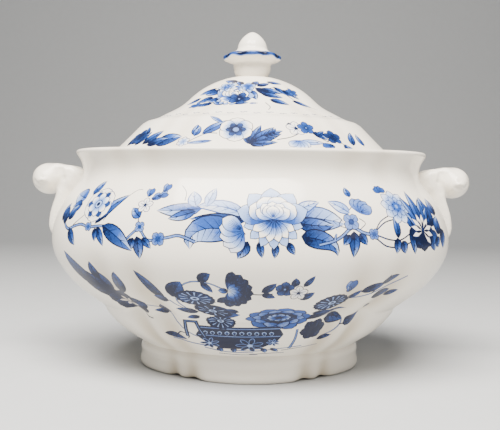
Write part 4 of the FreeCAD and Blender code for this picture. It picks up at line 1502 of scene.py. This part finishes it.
class TUREEN_OT_stage(Operator):
    """Sets up the pale floor, the soft boxes and the camera"""
    bl_idname = "tureen.stage"
    bl_label = "Stage"

    def execute(self, context):
        settings = tureen_settings(context)
        scene = context.scene
        self.add_floor(settings)
        for number, (place, target, size, power) in enumerate(SOFT_BOXES):
            self.add_soft_box(f"soft_box_{number}", place, target, size, power)
        self.add_world(scene)
        self.add_camera(scene)
        return {"FINISHED"}

    @staticmethod
    def add_floor(settings):
        """A sheet of matt board that sweeps up behind the object."""
        half = settings.sweep_size
        bend = [(y, 0.0) for y in (-half, -1.0, 0.0, SWEEP_START)]
        for turn in np.linspace(0.1, 1.5, 12):
            rise = SWEEP_RADIUS - SWEEP_RADIUS * math.cos(turn)
            bend.append((SWEEP_START + SWEEP_RADIUS * math.sin(turn), rise))
        bend.append(SWEEP_TOP)
        points = [(x, y, z) for y, z in bend for x in (-half, half)]
        faces = [(2 * k, 2 * k + 1, 2 * k + 3, 2 * k + 2) for k in range(len(bend) - 1)]
        mesh = bpy.data.meshes.new("floor")
        mesh.from_pydata(points, [], faces)
        mesh.shade_smooth()
        floor = placed("floor", mesh)
        floor.data.materials.append(paper_board(settings))

    @staticmethod
    def add_soft_box(name, place, target, size, power):
        """A rectangular soft box that faces a point."""
        light = bpy.data.lights.new(name, "AREA")
        light.shape = "RECTANGLE"
        light.size, light.size_y = size
        light.energy = power
        light.color = linear("#FFFAF2")
        lamp = placed(name, light)
        lamp.location = place
        lamp.rotation_euler = (Vector(target) - Vector(place)).to_track_quat("-Z", "Y").to_euler()

    @staticmethod
    def add_world(scene):
        """Even pale light from the room."""
        world = bpy.data.worlds.new("room")
        world.use_nodes = True
        background = world.node_tree.nodes["Background"]
        background.inputs["Color"].default_value = (*linear("#DADDE2"), 1.0)
        background.inputs["Strength"].default_value = 0.22
        scene.world = world

    @staticmethod
    def add_camera(scene):
        """The camera, in front of the object and a little above its middle."""
        lens = bpy.data.cameras.new("camera")
        lens.lens = CAMERA_LENS
        lens.sensor_width = 36.0
        lens.clip_start = 0.02
        lens.shift_x, lens.shift_y = CAMERA_SHIFT
        camera = placed("camera", lens)
        tilt = Matrix.Rotation(math.radians(90.0 - CAMERA_DOWN), 4, "X")
        roll = Matrix.Rotation(math.radians(CAMERA_ROLL), 4, "Z")
        camera.matrix_world = Matrix.Translation(CAMERA_PLACE) @ tilt @ roll
        scene.camera = camera


def paper_board(settings):
    """Matt paper board. Its fibres give the eye a faint mottle and no gloss."""
    material = new_material("paper_board_matt")
    place = add_node(material, "ShaderNodeTexCoord").outputs["Object"]
    fibre = add_node(material, "ShaderNodeTexNoise", {"Vector": place}, Scale=60.0, Detail=4.0)
    darker = [0.94 * part for part in settings.floor]
    colour = blend(material, fibre.outputs["Fac"], settings.floor, darker)
    shader = add_node(material, "ShaderNodeBsdfPrincipled", {"Base Color": colour}, Roughness=0.8)
    add_node(material, "ShaderNodeOutputMaterial", {"Surface": shader.outputs[0]})
    return material


BUILD_STEPS = (
    TUREEN_OT_bowl,
    TUREEN_OT_ledge,
    TUREEN_OT_foot,
    TUREEN_OT_handles,
    TUREEN_OT_lid,
    TUREEN_OT_finial,
    TUREEN_OT_stage,
)


class TUREEN_PT_panel(Panel):
    """Lists the tureen's settings and building steps"""
    bl_idname = "TUREEN_PT_panel"
    bl_label = "Soup tureen"
    bl_space_type = "VIEW_3D"
    bl_region_type = "UI"
    bl_category = "Tureen"

    def draw(self, context):
        settings = tureen_settings(context)
        for name in settings.bl_rna.properties.keys():
            if name not in {"rna_type", "name"}:
                self.layout.prop(settings, name)
        for step in BUILD_STEPS:
            self.layout.operator(step.bl_idname)


CLASSES = (TureenSettings, *BUILD_STEPS, TUREEN_PT_panel)


def register():
    for cls in CLASSES:
        bpy.utils.register_class(cls)
    bpy.types.Scene.tureen_settings = PointerProperty(type=TureenSettings)


def unregister():
    del bpy.types.Scene.tureen_settings
    for cls in reversed(CLASSES):
        bpy.utils.unregister_class(cls)


def main():
    register()
    for step in BUILD_STEPS:
        group, name = step.bl_idname.split(".")
        getattr(getattr(bpy.ops, group), name)()


if __name__ == "__main__":
    main()
